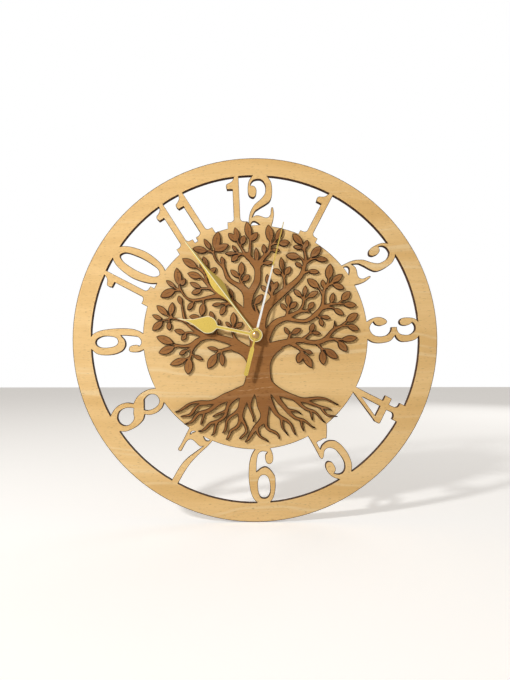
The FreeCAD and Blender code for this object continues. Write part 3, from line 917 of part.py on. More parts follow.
def face_between(left, right):
    """Return the face between two side outlines, closed straight at both ends."""
    left_edges, left_first, left_last = stretch_edges(left)
    right_edges, right_first, right_last = stretch_edges(right)
    ends = [smooth_edge([left_first, right_first]), smooth_edge([left_last, right_last])]
    return face_of(left_edges + right_edges + ends)


def loop_face(stretches):
    """Return the face inside one closed outline."""
    if len(stretches) == 1:
        curve = Part.BSplineCurve()
        curve.interpolate(Points=stretches[0], PeriodicFlag=True)
        return face_of([curve.toShape()])
    edges, first, last = stretch_edges(stretches)
    if not first.isEqual(last, 1e-6):
        edges.append(smooth_edge([last, first]))
    return face_of(edges)


def merged(faces):
    """Merge flat faces that overlap into one, with no seams between them."""
    shell = Part.makeShell(faces[0].multiFuse(faces[1:]).Faces)
    return shell.removeSplitter()


def round_face(radius, place=(0.0, 0.0)):
    """Return a round flat face."""
    return face_of([Part.Circle(Vector(*place, 0), Vector(0, 0, 1), radius).toShape()])


def gear_face(teeth, module, phase):
    """Return the outline of a gear, one tooth of it pointing at the phase angle in radians."""
    pitch_radius = teeth * module / 2
    base_radius = pitch_radius * math.cos(PRESSURE_ANGLE)
    tip_radius = pitch_radius + TOOTH_ADDENDUM_SHARE * module
    root_radius = pitch_radius - TOOTH_DEDENDUM_SHARE * module
    flank_start = max(base_radius, root_radius)
    radii = [root_radius] + [flank_start + (tip_radius - flank_start) * step / FLANK_STEPS
                             for step in range(FLANK_STEPS + 1)]

    def involute(angle):
        return math.tan(angle) - angle

    def half_angle(radius):
        roll = math.acos(min(1, base_radius / max(radius, base_radius)))
        return math.pi * TOOTH_WIDTH_SHARE / teeth + involute(PRESSURE_ANGLE) - involute(roll)

    points = []
    for tooth in range(teeth):
        middle = phase + 2 * math.pi * tooth / teeth
        rising = [(radius, middle - half_angle(radius)) for radius in radii]
        falling = [(radius, middle + half_angle(radius)) for radius in reversed(radii)]
        points += [(radius * math.cos(turn), radius * math.sin(turn))
                   for radius, turn in rising + falling]
    return Part.Face(Part.makePolygon(flat(points + points[:1])))


def prism(face, back, front):
    """Extrude a flat face from one depth to another."""
    moved = face.copy()
    moved.translate(Vector(0, 0, back))
    return moved.extrude(Vector(0, 0, front - back))


def rod(radius, back, front, place=(0.0, 0.0)):
    """Return a round rod between two depths."""
    return Part.makeCylinder(radius, front - back, Vector(*place, back))


def slab(left, right, low, high, back, front):
    """Return a box from its sides."""
    return Part.makeBox(right - left, high - low, front - back, Vector(left, low, back))


def joined(shapes):
    """Fuse shapes into one and clean the seams."""
    return shapes[0].multiFuse(shapes[1:]).removeSplitter()


def direction(start, end):
    """Return the angle of the line from one arbor to another, in radians from the x axis."""
    return math.atan2(end[1] - start[1], end[0] - start[0])


def meshing_phase(first_phase, first_teeth, teeth, start, end):
    """Return the phase that puts a gear's teeth between those of the gear that it meshes."""
    line = direction(start, end)
    return line + math.pi + (math.pi - (first_phase - line) * first_teeth) / teeth


def figure_point(share, shift):
    """Turn a point of the figures' grid into a real place on the dial."""
    band = ring_inner_radius - size.disc_radius
    pitch = band / (HEAD_SHARE - FOOT_SHARE)
    across, out = share
    radius = size.disc_radius + (abs(out) - FOOT_SHARE) * pitch
    return Vector((across + shift) * pitch, math.copysign(radius, out), 0)


def figure_side(stretches, shift):
    """Return one side of a figure, run on into the disc and the ring."""
    side = [[figure_point(share, shift) for share in stretch] for stretch in stretches]
    foot, head = side[0][0], side[-1][-1]
    for end, grows in ((foot, abs(foot.y) > abs(head.y)), (head, abs(head.y) > abs(foot.y))):
        radius = abs(end.y) + (size.figure_root if grows else -size.figure_root)
        run = [Vector(end.x, math.copysign(radius, end.y), 0)]
        side = [run] + side if end is foot else side + [run]
    return side


def solid_of(shape):
    """Return the one solid that a shape holds."""
    if len(shape.Solids) != 1:
        raise ValueError(f"{len(shape.Solids)} solids where one is meant")
    return shape.Solids[0]


def whole_face(shape):
    """Return the one face that a flat shape holds."""
    if len(shape.Faces) != 1:
        raise ValueError(f"{len(shape.Faces)} faces where one is meant")
    return shape.Faces[0]


def build_dial():
    """Cut the ring, the figures and the disc from one sheet."""
    ring = round_face(size.ring_outer_radius).cut(round_face(ring_inner_radius))
    faces = [round_face(size.disc_radius)]
    holes = [round_face(size.bush_radius + size.dial_hole_clearance)]
    for hour, figures in HOUR_FIGURE_SHARES.items():
        outwards = figures[0][0]["left"][0][0][1] > 0
        turn = 30 * hour - size.figure_lead_angle - (0 if outwards else 180)
        for figure, shift in figures:
            face = face_between(figure_side(figure["left"], shift),
                                figure_side(figure["right"], shift))
            openings = [loop_face([[figure_point(share, shift) for share in stretch]
                                   for stretch in outline]) for outline in figure["holes"]]
            for part in [face] + openings:
                part.rotate(Vector(), Vector(0, 0, 1), -turn)
            faces.append(face)
            holes += openings
    pierced = merged([ring] + faces).cut(holes)
    feature("dial_plate", solid_of(pierced.extrude(Vector(0, 0, size.dial_thickness))), dial_back)


def leaf_face(share, pitch):
    """Return a pointed leaf between its base and its tip."""
    base = Vector(share[0], share[1], 0) * pitch
    tip = Vector(share[2], share[3], 0) * pitch
    along = (tip - base).normalize()
    across = Vector(-along.y, along.x, 0) * (share[4] * pitch / 2)
    middle = (base + tip) * 0.5
    return face_of([Part.Arc(base, middle + across, tip).toShape(),
                    Part.Arc(base, middle - across, tip).toShape()])


def limb_face(shares, pitch):
    """Return a limb or root from the points along its middle and its widths there."""
    centres = [Vector(x, y, 0) * pitch for x, y, width in shares]
    left, right = [], []
    for number, centre in enumerate(centres):
        before = centres[max(number - 1, 0)]
        after = centres[min(number + 1, len(centres) - 1)]
        along = (after - before).normalize()
        across = Vector(-along.y, along.x, 0) * (shares[number][2] * pitch / 2)
        left.append(centre + across)
        right.append(centre - across)
    return face_between([left[:1], left[1:]], [right[:1], right[1:]])


def build_tree():
    """Cut the tree from its own sheet: trunk, limbs, roots and leaves in one piece."""
    pitch = size.disc_radius / TREE_GRID_SHARE
    sides = [[point * pitch for point in flat(side)]
             for side in (TRUNK_LEFT_SHARES, TRUNK_RIGHT_SHARES)]
    faces = [face_between(*[[side[:1], side[1:]] for side in sides])]
    for table in (LIMB_SHARES, ROOT_SHARES):
        faces += [limb_face(shares, pitch) for shares in table.values()]
    faces += [leaf_face(share, pitch) for share in LEAF_SHARES]
    # The sheet stays whole where limbs cross, so only its outline is cut.
    outline = whole_face(merged(faces)).OuterWire
    tree = Part.Face(outline).cut(round_face(size.bush_radius + size.dial_hole_clearance))
    feature("tree_overlay", solid_of(tree.extrude(Vector(0, 0, size.tree_thickness))), tree_back)


def hand_side(shares, pitch_along, pitch_across, side):
    """Return one side of a hand's outline, on the right where side is 1."""
    return [[Vector(side * half * pitch_across, along * pitch_along, 0) for along, half in stretch]
            for stretch in shares]


def hand_face(shares, length, width, reach_share, half_share):
    """Return a hand's outline, pointing up from the hub."""
    pitch_along = length / reach_share
    pitch_across = width / 2 / half_share
    return face_between(hand_side(shares, pitch_along, pitch_across, -1),
                        hand_side(shares, pitch_along, pitch_across, 1))


def turned(shape, clock_angle):
    """Turn a shape clockwise about the hub, as the clock is seen from the front."""
    copy = shape.copy()
    copy.rotate(Vector(), Vector(0, 0, 1), -clock_angle)
    return copy


def build_hour_hand():
    """Cut the flat hour hand, pressed on the hour tube."""
    blade = hand_face(HOUR_HAND_SHARES, size.hour_hand_length, size.hour_hand_width,
                      HOUR_REACH_SHARE, HOUR_HALF_SHARE)
    plate = joined([prism(blade, 0, size.hand_thickness),
                    rod(size.hour_collar_radius, 0, size.hand_thickness)])
    bore = rod(size.hour_tube_radius + size.hand_fit, 0, size.hand_thickness)
    feature("hour_hand", turned(plate.cut(bore), HOUR_HAND_ANGLE), hour_hand_back)


def build_minute_hand():
    """Fold the minute hand along its middle, pressed on the minute tube."""
    blade = hand_face(MINUTE_HAND_SHARES, size.minute_hand_length, size.minute_hand_width,
                      MINUTE_REACH_SHARE, MINUTE_HALF_SHARE)
    rise = size.minute_fold_height
    top = rise + size.hand_thickness
    half = size.minute_hand_width / 2
    fold = [(-half, 0), (0, rise), (half, 0), (half, size.hand_thickness), (0, top),
            (-half, size.hand_thickness)]
    section = Part.Face(Part.makePolygon([Vector(x, 0, z) for x, z in fold + fold[:1]]))
    folded = section.extrude(Vector(0, size.minute_hand_length, 0))
    sheet_hand = folded.common(prism(blade, 0, top))
    collar = rod(size.minute_collar_radius, rise / 2, top)
    whole = joined([sheet_hand, collar])
    bore = rod(size.minute_tube_radius + size.hand_fit, 0, top)
    feature("minute_hand", turned(whole.cut(bore), MINUTE_HAND_ANGLE), minute_hand_back)


def build_second_hand():
    """Cut the second hand with its counterweight, on a short socket."""
    needle = hand_face(SECOND_HAND_SHARES, size.second_hand_length, size.second_tail_width,
                       SECOND_REACH_SHARE, SECOND_HALF_SHARE)
    tail = hand_face(SECOND_TAIL_SHARES, size.second_tail_length, size.second_tail_width,
                     SECOND_TAIL_REACH_SHARE, SECOND_HALF_SHARE)
    tail.rotate(Vector(), Vector(0, 0, 1), 180)
    back, front = size.second_socket_length, size.second_socket_length + size.hand_thickness
    whole = joined([prism(needle, back, front), prism(tail, back, front),
                    rod(size.second_hub_radius, back, front),
                    rod(size.second_socket_radius, 0, back)])
    bore = rod(size.arbor_radius + size.hand_fit, 0, front)
    feature("second_hand", turned(whole.cut(bore), SECOND_HAND_ANGLE), second_socket_back)


def build_cap():
    """Turn the polished dome that covers the second hand's centre."""
    radius, rise = size.cap_radius, size.cap_dome_height
    dome_radius = (radius ** 2 + rise ** 2) / (2 * rise)
    rim = cylinder("cap_rim", "cap_radius", "cap_rim_height + cap_dome_height")
    dome = doc.addObject("Part::Sphere", "cap_dome")
    dome.setExpression("Radius", bound("(cap_radius^2 + cap_dome_height^2) / (2*cap_dome_height)"))
    dome.Placement.Base = Vector(0, 0, size.cap_rim_height + rise - dome_radius)
    domed = doc.addObject("Part::MultiCommon", "cap_domed")
    domed.Shapes = [rim, dome]
    bore = cylinder("cap_bore", "arbor_radius + hand_fit", "cap_rim_height + cap_dome_height/2")
    stand("second_hand_cap", cut("second_hand_cap", domed, [bore]), cap_back)


def ring_body(name, label, outer, inner, thickness, depth):
    """Make a flat ring, such as a washer."""
    body = doc.addObject("PartDesign::Body", name)
    pad(body, name + "_pad", circle_sketch(body, name + "_sketch", [outer, inner]), thickness)
    doc.recompute()
    return stand(label, body, depth)


def build_fixing():
    """Make the bush, washers and slotted nut that clamp the movement to the dial."""
    ring_body("rubber_washer", "rubber_washer", "rubber_washer_radius",
              "bush_radius + dial_hole_clearance", "rubber_washer_thickness", size.case_depth)
    ring_body("brass_washer", "brass_washer", "brass_washer_radius",
              "bush_radius + dial_hole_clearance", "brass_washer_thickness", washer_back)

    nut = doc.addObject("PartDesign::Body", "round_nut")
    pad(nut, "nut_pad", circle_sketch(nut, "nut_sketch", ["nut_radius", "bush_radius + thread_fit"]),
        "nut_thickness")
    doc.recompute()
    slot = rectangle_sketch(nut, "nut_slot_sketch", "2*nut_radius", "nut_slot_width",
                            size.nut_thickness - size.nut_slot_depth)
    pocket(nut, "nut_slot", slot, "nut_slot_depth")
    stand("round_nut", nut, nut_back)

    bush = doc.addObject("PartDesign::Body", "threaded_bush")
    flange_back = front_wall_back - size.bush_flange_thickness
    bush_length = bush_front - flange_back
    bore = "hour_tube_radius + bush_fit"
    pad(bush, "bush_flange", circle_sketch(bush, "flange_sketch", ["bush_flange_radius", bore]),
        "bush_flange_thickness")
    neck = circle_sketch(bush, "neck_sketch", ["bush_radius", bore], size.bush_flange_thickness)
    stack = ("case_wall + rubber_washer_thickness + dial_thickness + tree_thickness"
             " + brass_washer_thickness + nut_thickness + bush_proud")
    pad(bush, "bush_neck", neck, stack)
    doc.recompute()
    stand("threaded_bush", bush, front_wall_back - size.bush_flange_thickness)
    if abs(bush.Shape.BoundBox.YLength - bush_length) > size.thread_fit:
        raise ValueError("the bush does not fit its stack")


# The battery bay lies along the bottom of the case, under a wall that parts it from the train.
inner_half = size.case_width / 2 - size.case_wall
bay_top = 2 * (size.cell_radius + size.cell_play) - inner_half
cell_middle = bay_top - size.cell_radius - size.cell_play
cell_depth = front_wall_back - size.cell_play / 2 - size.cell_radius
cell_half_length = (size.cell_length + size.cell_nub_length) / 2
inner_corner = "case_corner_radius - case_wall"
inner_width = "case_width - 2*case_wall"

# Posts for the bridge, the motor and the board, clear of every wheel, as shares of half the case.
BRIDGE_POST_SHARES = [(0.625, -0.268), (0.446, 0.550), (-0.607, 0.286)]
bridge_posts = [(x * size.case_width / 2, y * size.case_width / 2) for x, y in BRIDGE_POST_SHARES]
core_posts = [(-size.core_left, size.core_height), (size.core_right, size.core_height)]
board_left = inner_half - size.contact_thickness - size.board_gap - size.board_width
board_low = inner_half - size.board_gap - size.board_height
board_back = size.case_wall + size.board_lift
board_front = board_back + size.board_thickness
BOARD_PEG_SHARES = [(0.2, 0.15), (0.8, 0.85)]
board_pegs = [(board_left + x * size.board_width, board_low + y * size.board_height)
              for x, y in BOARD_PEG_SHARES]
stator_back = rear_boss_front + size.train_rise / 2
stator_front = stator_back + size.stator_thickness
core_front = stator_front + size.core_thickness
hanger_radius = size.hanger_width / 2
hanger_height = size.case_width / 2 + size.hanger_rise
well_depth = "knob_sink + knob_thickness + well_floor_gap"


def setting_arrow():
    """Return the curved arrow round the knob's well, with its head at the clockwise end."""
    radius, half = size.arrow_radius, size.mark_width / 2
    ring = rod(radius + half, 0, size.mark_depth, knob_place)
    ring = ring.cut(rod(radius - half, 0, size.mark_depth, knob_place))
    sweep = size.arrow_sweep_angle
    wedge = [knob_place] + [place_at(angle, 2 * radius, knob_place) for angle in (-sweep, 0, sweep)]
    arc = ring.common(prism(Part.Face(Part.makePolygon(flat(wedge + wedge[:1]))), 0,
                            size.mark_depth))
    wing = size.arrow_head_width / 2
    head = [place_at(sweep, radius - wing, knob_place), place_at(sweep, radius + wing, knob_place),
            place_at(sweep + size.arrow_head_angle, radius, knob_place)]
    head = prism(Part.Face(Part.makePolygon(flat(head + head[:1]))), 0, size.mark_depth)
    arrow = doc.addObject("Part::Feature", "setting_arrow")
    arrow.Shape = joined([arc, head])
    return arrow


def back_marks():
    """Return what is sunk into the back: a label panel, the arrow and the cell's two signs."""
    long, wide = size.sign_length / 2, size.mark_width / 2
    plus, minus, height = size.plus_reach, size.minus_reach, -size.sign_drop
    return [
        box("label_panel", "panel_width", "panel_height", "mark_depth",
            (size.panel_left, size.panel_low, 0)),
        setting_arrow(),
        box("plus_across", "sign_length", "mark_width", "mark_depth",
            (plus - long, height - wide, 0)),
        box("plus_upright", "mark_width", "sign_length", "mark_depth",
            (plus - wide, height - long, 0)),
        box("minus_across", "sign_length", "mark_width", "mark_depth",
            (-minus - long, height - wide, 0)),
    ]


def build_rear_case():
    """Mould the rear shell: battery bay, knob well, posts, catches, hanger tab and marks."""
    half = size.case_width / 2
    block = rounded_block("rear_block", "case_width", "rear_case_depth", "case_corner_radius")
    cavity = rounded_block("rear_cavity", inner_width, "rear_case_depth", inner_corner)
    cavity.Placement.Base = Vector(0, 0, size.case_wall)
    shell = cut("rear_shell", block, [cavity])
    solids = [
        shell,
        box("rear_bay_wall", inner_width, "bay_wall", "rear_case_depth", (-inner_half, bay_top, 0)),
        cylinder("knob_well_wall", "knob_radius + well_gap + well_wall", well_depth + " + case_wall",
                 knob_place),
        box("hanger_tab", "hanger_width", hanger_height - inner_half, "hanger_thickness",
            (-hanger_radius, inner_half, 0)),
        cylinder("hanger_round", "hanger_width/2", "hanger_thickness", (0, hanger_height)),
    ]
    holes = [
        cylinder("knob_well", "knob_radius + well_gap", well_depth, knob_place),
        cylinder("knob_shaft_hole", "knob_shaft_radius + running_fit",
                 well_depth + " + 2*case_wall", knob_place),
        cylinder("hanger_hole", "hanger_hole_radius", "hanger_thickness", (0, hanger_height)),
        box("bay_opening", 2 * (cell_half_length + size.cell_end_play),
            "2*(cell_radius + cell_play)", "case_wall",
            (-cell_half_length - size.cell_end_play, -inner_half, 0)),
        *back_marks(),
    ]
    for number, place in enumerate([(0, 0), third_place, step_place, rotor_place]):
        solids.append(cylinder(f"rear_boss_{number}", "rear_boss_radius",
                               "case_wall + rear_boss_height", place))
        holes.append(cylinder(f"rear_pivot_{number}", "pivot_radius + running_fit",
                              "rear_boss_height", place, size.case_wall))
    posts = [(place, bridge_back) for place in bridge_posts]
    posts += [(place, stator_back) for place in core_posts]
    for number, (place, front) in enumerate(posts):
        solids.append(cylinder(f"post_{number}", "post_radius", front, place))
        holes.append(cylinder(f"post_hole_{number}", "screw_radius + screw_fit",
                              front - size.case_wall, place, size.case_wall))
    for number, place in enumerate(board_pegs):
        solids.append(cylinder(f"board_peg_{number}", "board_peg_radius", board_back, place))
    strip_slot = size.contact_thickness + size.cell_play
    for side, left in ((-1, -inner_half), (1, inner_half - strip_slot)):
        holes.append(box(f"strip_slot_{side + 1}", strip_slot, "bay_wall", split,
                         (left, bay_top, size.contact_strip_back - size.cell_play)))
        solids.append(box(f"catch_{side + 1}", "catch_proud + case_wall/2", "catch_width",
                          "catch_height", (half - size.case_wall / 2 if side > 0
                                           else -half - size.catch_proud, -size.catch_width / 2,
                                           split - (size.strap_reach + size.catch_height) / 2)))
    stand("movement_rear_case", cut("movement_rear_case", fused("rear_solids", solids), holes))


def build_front_case():
    """Mould the front shell with its bearing bosses and the straps that hook on the catches."""
    half = size.case_width / 2
    depth = "case_depth - rear_case_depth"
    block = rounded_block("front_block", "case_width", depth, "case_corner_radius")
    cavity = rounded_block("front_cavity", inner_width, depth + " - case_wall", inner_corner)
    shell = cut("front_shell", block, [cavity])
    wall_back = front_wall_back - split
    solids = [shell, box("front_bay_wall", inner_width, "bay_wall", depth, (-inner_half, bay_top, 0))]
    holes = [cylinder("bush_hole", "bush_radius + bush_fit", "case_wall", (0, 0), wall_back)]
    for number, place in enumerate([motion_place, knob_place]):
        solids.append(cylinder(f"front_boss_{number}", "front_boss_radius",
                               "front_boss_height + case_wall/2", place,
                               wall_back - size.front_boss_height))
        holes.append(cylinder(f"front_pivot_{number}", "pivot_radius + running_fit",
                              "front_boss_height", place, wall_back - size.front_boss_height))
    strap_width = size.catch_width + 2 * (size.catch_play + size.strap_rim)
    window_width = size.catch_width + 2 * size.catch_play
    for side in (-1, 1):
        solids.append(box(f"strap_{side + 1}", "strap_thickness + case_wall/2", strap_width,
                          2 * size.strap_reach,
                          (half - size.case_wall / 2 if side > 0 else -half - size.strap_thickness,
                           -strap_width / 2, -size.strap_reach)))
        holes.append(box(f"window_{side + 1}", 2 * size.strap_thickness, window_width,
                         "catch_height + 2*catch_play",
                         (half if side > 0 else -half - 2 * size.strap_thickness,
                          -window_width / 2,
                          -(size.strap_reach + size.catch_height) / 2 - size.catch_play)))
        holes.append(box(f"strap_seat_{side + 1}", "case_wall", strap_width, "strap_reach",
                         (half - size.case_wall if side > 0 else -half,
                          -strap_width / 2, -size.strap_reach)))
    stand("movement_front_case", cut("movement_front_case", fused("front_solids", solids), holes),
          split)


def gear(teeth, module, phase, back, front):
    """Return a gear about the axis between two depths."""
    return prism(gear_face(teeth, module, phase), back, front)


def placed(shape, place):
    """Move a shape to an arbor's place."""
    moved = shape.copy()
    moved.translate(Vector(*place, 0))
    return moved


def rear_pivot():
    """Return the pivot that turns in a rear boss."""
    return rod(size.pivot_radius, size.case_wall + size.shoulder_play,
               rear_boss_front + size.shoulder_play)


def bridge_pivot():
    """Return the pivot that turns in the bridge from behind."""
    return rod(size.pivot_radius, bridge_back - size.shoulder_play,
               bridge_front - size.shoulder_play)


def front_pivot():
    """Return the pivot that turns in a front boss."""
    return rod(size.pivot_radius, front_boss_back - size.shoulder_play,
               front_wall_back - size.shoulder_play)


# The depths between which each gear reaches.
wheel, margin = size.wheel_thickness, size.pinion_margin
train_start = rear_boss_front + size.shoulder_play
train_end = bridge_back - size.shoulder_play
motion_start = bridge_front + size.shoulder_play
motion_end = front_boss_back - size.shoulder_play
centre = (0.0, 0.0)


def build_train():
    """Make the gear train from the rotor to the hour tube."""
    second_step = direction(centre, step_place)
    second_third = direction(centre, third_place)
    second_wheel = joined([
        rear_pivot(),
        rod(size.arbor_radius, train_start, cap_back + size.cap_rim_height / 2),
        gear(SECOND_WHEEL_TEETH, size.second_module, second_step, second_layer,
             second_layer + wheel),
        gear(SECOND_PINION_TEETH, size.third_module, second_third, second_layer + wheel,
             third_layer + wheel + margin)])
    feature("second_wheel", second_wheel)

    third_phase = meshing_phase(second_third, SECOND_PINION_TEETH, THIRD_WHEEL_TEETH, centre,
                                third_place)
    third_centre = direction(third_place, centre)
    third_wheel = joined([
        rear_pivot(), bridge_pivot(), rod(size.arbor_radius, train_start, train_end),
        gear(THIRD_WHEEL_TEETH, size.third_module, third_phase, third_layer, third_layer + wheel),
        gear(THIRD_PINION_TEETH, centre_module, third_centre, centre_layer - margin,
             centre_layer + wheel + margin)])
    feature("third_wheel", placed(third_wheel, third_place))

    step_phase = meshing_phase(second_step, SECOND_WHEEL_TEETH, STEP_PINION_TEETH, centre,
                               step_place)
    step_rotor = direction(step_place, rotor_place)
    step_wheel = joined([
        rear_pivot(), bridge_pivot(), rod(size.arbor_radius, train_start, train_end),
        gear(STEP_PINION_TEETH, size.second_module, step_phase, second_layer - margin,
             second_layer + wheel + margin),
        gear(STEP_WHEEL_TEETH, size.step_module, step_rotor, step_layer, step_layer + wheel)])
    feature("step_wheel", placed(step_wheel, step_place))

    rotor_phase = meshing_phase(step_rotor, STEP_WHEEL_TEETH, ROTOR_PINION_TEETH, step_place,
                                rotor_place)
    rotor_pinion = joined([
        rear_pivot(), bridge_pivot(), rod(size.arbor_radius, train_start, train_end),
        gear(ROTOR_PINION_TEETH, size.step_module, rotor_phase, step_layer - margin,
             step_layer + wheel + margin)])
    feature("rotor_pinion", placed(rotor_pinion, rotor_place))
    magnet = rod(size.magnet_radius, stator_back, stator_front).cut(
        rod(size.arbor_radius + size.part_gap, stator_back, stator_front))
    feature("rotor_magnet", placed(magnet, rotor_place))

    centre_phase = meshing_phase(third_centre, THIRD_PINION_TEETH, CENTRE_WHEEL_TEETH,
                                 third_place, centre)
    centre_motion = direction(centre, motion_place)
    tube_back = centre_layer - size.shoulder_play
    centre_wheel = joined([
        rod(size.minute_tube_radius, tube_back, minute_tube_front),
        gear(CENTRE_WHEEL_TEETH, centre_module, centre_phase, centre_layer, centre_layer + wheel),
        gear(CANNON_PINION_TEETH, size.motion_module, centre_motion, motion_layer - margin,
             motion_layer + wheel + margin)])
    bore = rod(size.arbor_radius + size.running_fit, tube_back, minute_tube_front)
    feature("centre_wheel", centre_wheel.cut(bore))

    motion_phase = meshing_phase(centre_motion, CANNON_PINION_TEETH, MOTION_WHEEL_TEETH, centre,
                                 motion_place)
    motion_hour = direction(motion_place, centre)
    motion_wheel = joined([
        rod(size.pivot_radius, bridge_back + size.shoulder_play, motion_start),
        front_pivot(), rod(size.arbor_radius, motion_start, motion_end),
        gear(MOTION_WHEEL_TEETH, size.motion_module, motion_phase, motion_layer,
             motion_layer + wheel),
        gear(MOTION_PINION_TEETH, hour_module, motion_hour, motion_layer + wheel,
             hour_layer + wheel + margin)])
    feature("motion_wheel", placed(motion_wheel, motion_place))

    hour_phase = meshing_phase(motion_hour, MOTION_PINION_TEETH, HOUR_WHEEL_TEETH, motion_place,
                               centre)
    tube_back = hour_layer - size.shoulder_play
    hour_wheel = joined([
        rod(size.hour_tube_radius, tube_back, hour_tube_front),
        gear(HOUR_WHEEL_TEETH, hour_module, hour_phase, hour_layer, hour_layer + wheel)])
    bore = rod(size.minute_tube_radius + size.running_fit, tube_back, hour_tube_front)
    feature("hour_wheel", hour_wheel.cut(bore))

    knob_phase = meshing_phase(motion_phase, MOTION_WHEEL_TEETH, KNOB_PINION_TEETH, motion_place,
                               knob_place)
    feature("setting_knob", placed(knob_shape(knob_phase), knob_place))


def knob_shape(phase):
    """Return the fluted setting knob with its shaft and pinion."""
    back, front = size.knob_sink, size.knob_sink + size.knob_thickness
    disc = rod(size.knob_radius, back, front)
    flutes = [rod(size.knob_flute_radius, back, front, place_at(360 * number / KNOB_FLUTES,
                                                                size.knob_radius))
              for number in range(KNOB_FLUTES)]
    half_slot = size.knob_slot_width / 2
    slot = slab(-size.knob_radius, size.knob_radius, -half_slot, half_slot, back,
                back + size.knob_slot_depth)
    return joined([
        disc.cut(flutes + [slot]),
        rod(size.knob_shaft_radius, front, motion_layer - margin),
        gear(KNOB_PINION_TEETH, size.motion_module, phase, motion_layer - margin,
             motion_layer + wheel + margin),
        rod(size.arbor_radius, motion_layer + wheel + margin, motion_end), front_pivot()])


def build_bridge():
    """Cut the bridge that carries the train's front pivots, and its screws."""
    corners = [bridge_posts[0], bridge_posts[1], rotor_place, bridge_posts[2], motion_place]
    outline = Part.makePolygon(flat(corners + corners[:1])).makeOffset2D(size.bridge_margin)
    plate = prism(face_of(outline.Edges), bridge_back, bridge_front)
    pivots = [third_place, step_place, rotor_place, motion_place]
    holes = [rod(pivot_hole_radius, bridge_back, bridge_front, place) for place in pivots]
    holes += [rod(screw_hole_radius, bridge_back, bridge_front, place) for place in bridge_posts]
    holes.append(rod(size.minute_tube_radius + size.running_fit, bridge_back, bridge_front))
    feature("train_bridge", plate.cut(holes))
    feature("bridge_screws", Part.makeCompound([screw(place, bridge_front)
                                                for place in bridge_posts]))


def screw(place, seat):
    """Return a slotted screw whose head rests on the seat's depth."""
    top = seat + size.screw_head_height
    head = rod(size.screw_head_radius, seat, top, place)
    slot = slab(place[0] - size.screw_head_radius, place[0] + size.screw_head_radius,
                place[1] - size.screw_slot_width / 2, place[1] + size.screw_slot_width / 2,
                top - size.screw_slot_depth, top)
    return joined([head.cut(slot), rod(size.screw_radius, seat - size.screw_grip, seat, place)])


def build_motor():
    """Make the stepping motor's stator, core, bobbin, winding and screws."""
    half_arm = size.stator_arm_width / 2
    rotor_x, rotor_y = rotor_place
    lift = size.stator_arm_lift
    rim = size.magnet_radius + size.magnet_gap + size.stator_rim
    arms = [
        rod(rim, stator_back, stator_front, rotor_place),
        slab(-size.core_left - half_arm, rotor_x, rotor_y - half_arm, rotor_y + half_arm,
             stator_back, stator_front),
        slab(-size.core_left - half_arm, -size.core_left + half_arm, rotor_y - half_arm,
             size.core_height, stator_back, stator_front),
        slab(rotor_x, size.core_right + half_arm, rotor_y - half_arm + lift,
             rotor_y + half_arm + lift, stator_back, stator_front),
        slab(size.core_right - half_arm, size.core_right + half_arm, rotor_y - half_arm + lift,
             size.core_height, stator_back, stator_front)]
    arms += [rod(size.core_end_radius, stator_back, stator_front, place) for place in core_posts]
    holes = [rod(size.magnet_radius + size.magnet_gap, stator_back, stator_front, rotor_place)]
    holes += [rod(screw_hole_radius, stator_back, core_front, place) for place in core_posts]
    feature("stator_plate", joined(arms).cut(holes))

    half_core = size.core_width / 2
    core = joined([slab(-size.core_left, size.core_right, size.core_height - half_core,
                        size.core_height + half_core, stator_front, core_front)]
                  + [rod(size.core_end_radius, stator_front, core_front, place)
                     for place in core_posts])
    feature("coil_core", core.cut(holes[1:]))
    feature("core_screws", Part.makeCompound([screw(place, core_front) for place in core_posts]))

    depth = (stator_front + core_front) / 2
    flange = size.bobbin_flange_thickness
    tube_radius = "sqrt(core_width^2 + core_thickness^2)/2 + bobbin_wall"
    long = "coil_left + coil_right"
    start = (-size.coil_left, size.core_height, depth)
    bobbin = fused("bobbin_solids", [
        lying("bobbin_tube", tube_radius, long, start),
        lying("bobbin_left", "bobbin_flange_radius", "bobbin_flange_thickness",
              (-size.coil_left - flange, size.core_height, depth)),
        lying("bobbin_right", "bobbin_flange_radius", "bobbin_flange_thickness",
              (size.coil_right, size.core_height, depth))])
    gap = size.part_gap
    slot = box("bobbin_slot", "coil_left + coil_right + 2*bobbin_flange_thickness",
               "core_width + 2*part_gap", "core_thickness + 2*part_gap",
               (-size.coil_left - flange, size.core_height - half_core - gap,
                stator_front - gap))
    stand("coil_bobbin", cut("coil_bobbin", bobbin, [slot]))
    winding = lying("winding_outside", "coil_radius", long, start)
    inside = lying("winding_inside", tube_radius + " + part_gap", long, start)
    stand("coil_winding", cut("coil_winding", winding, [inside]))


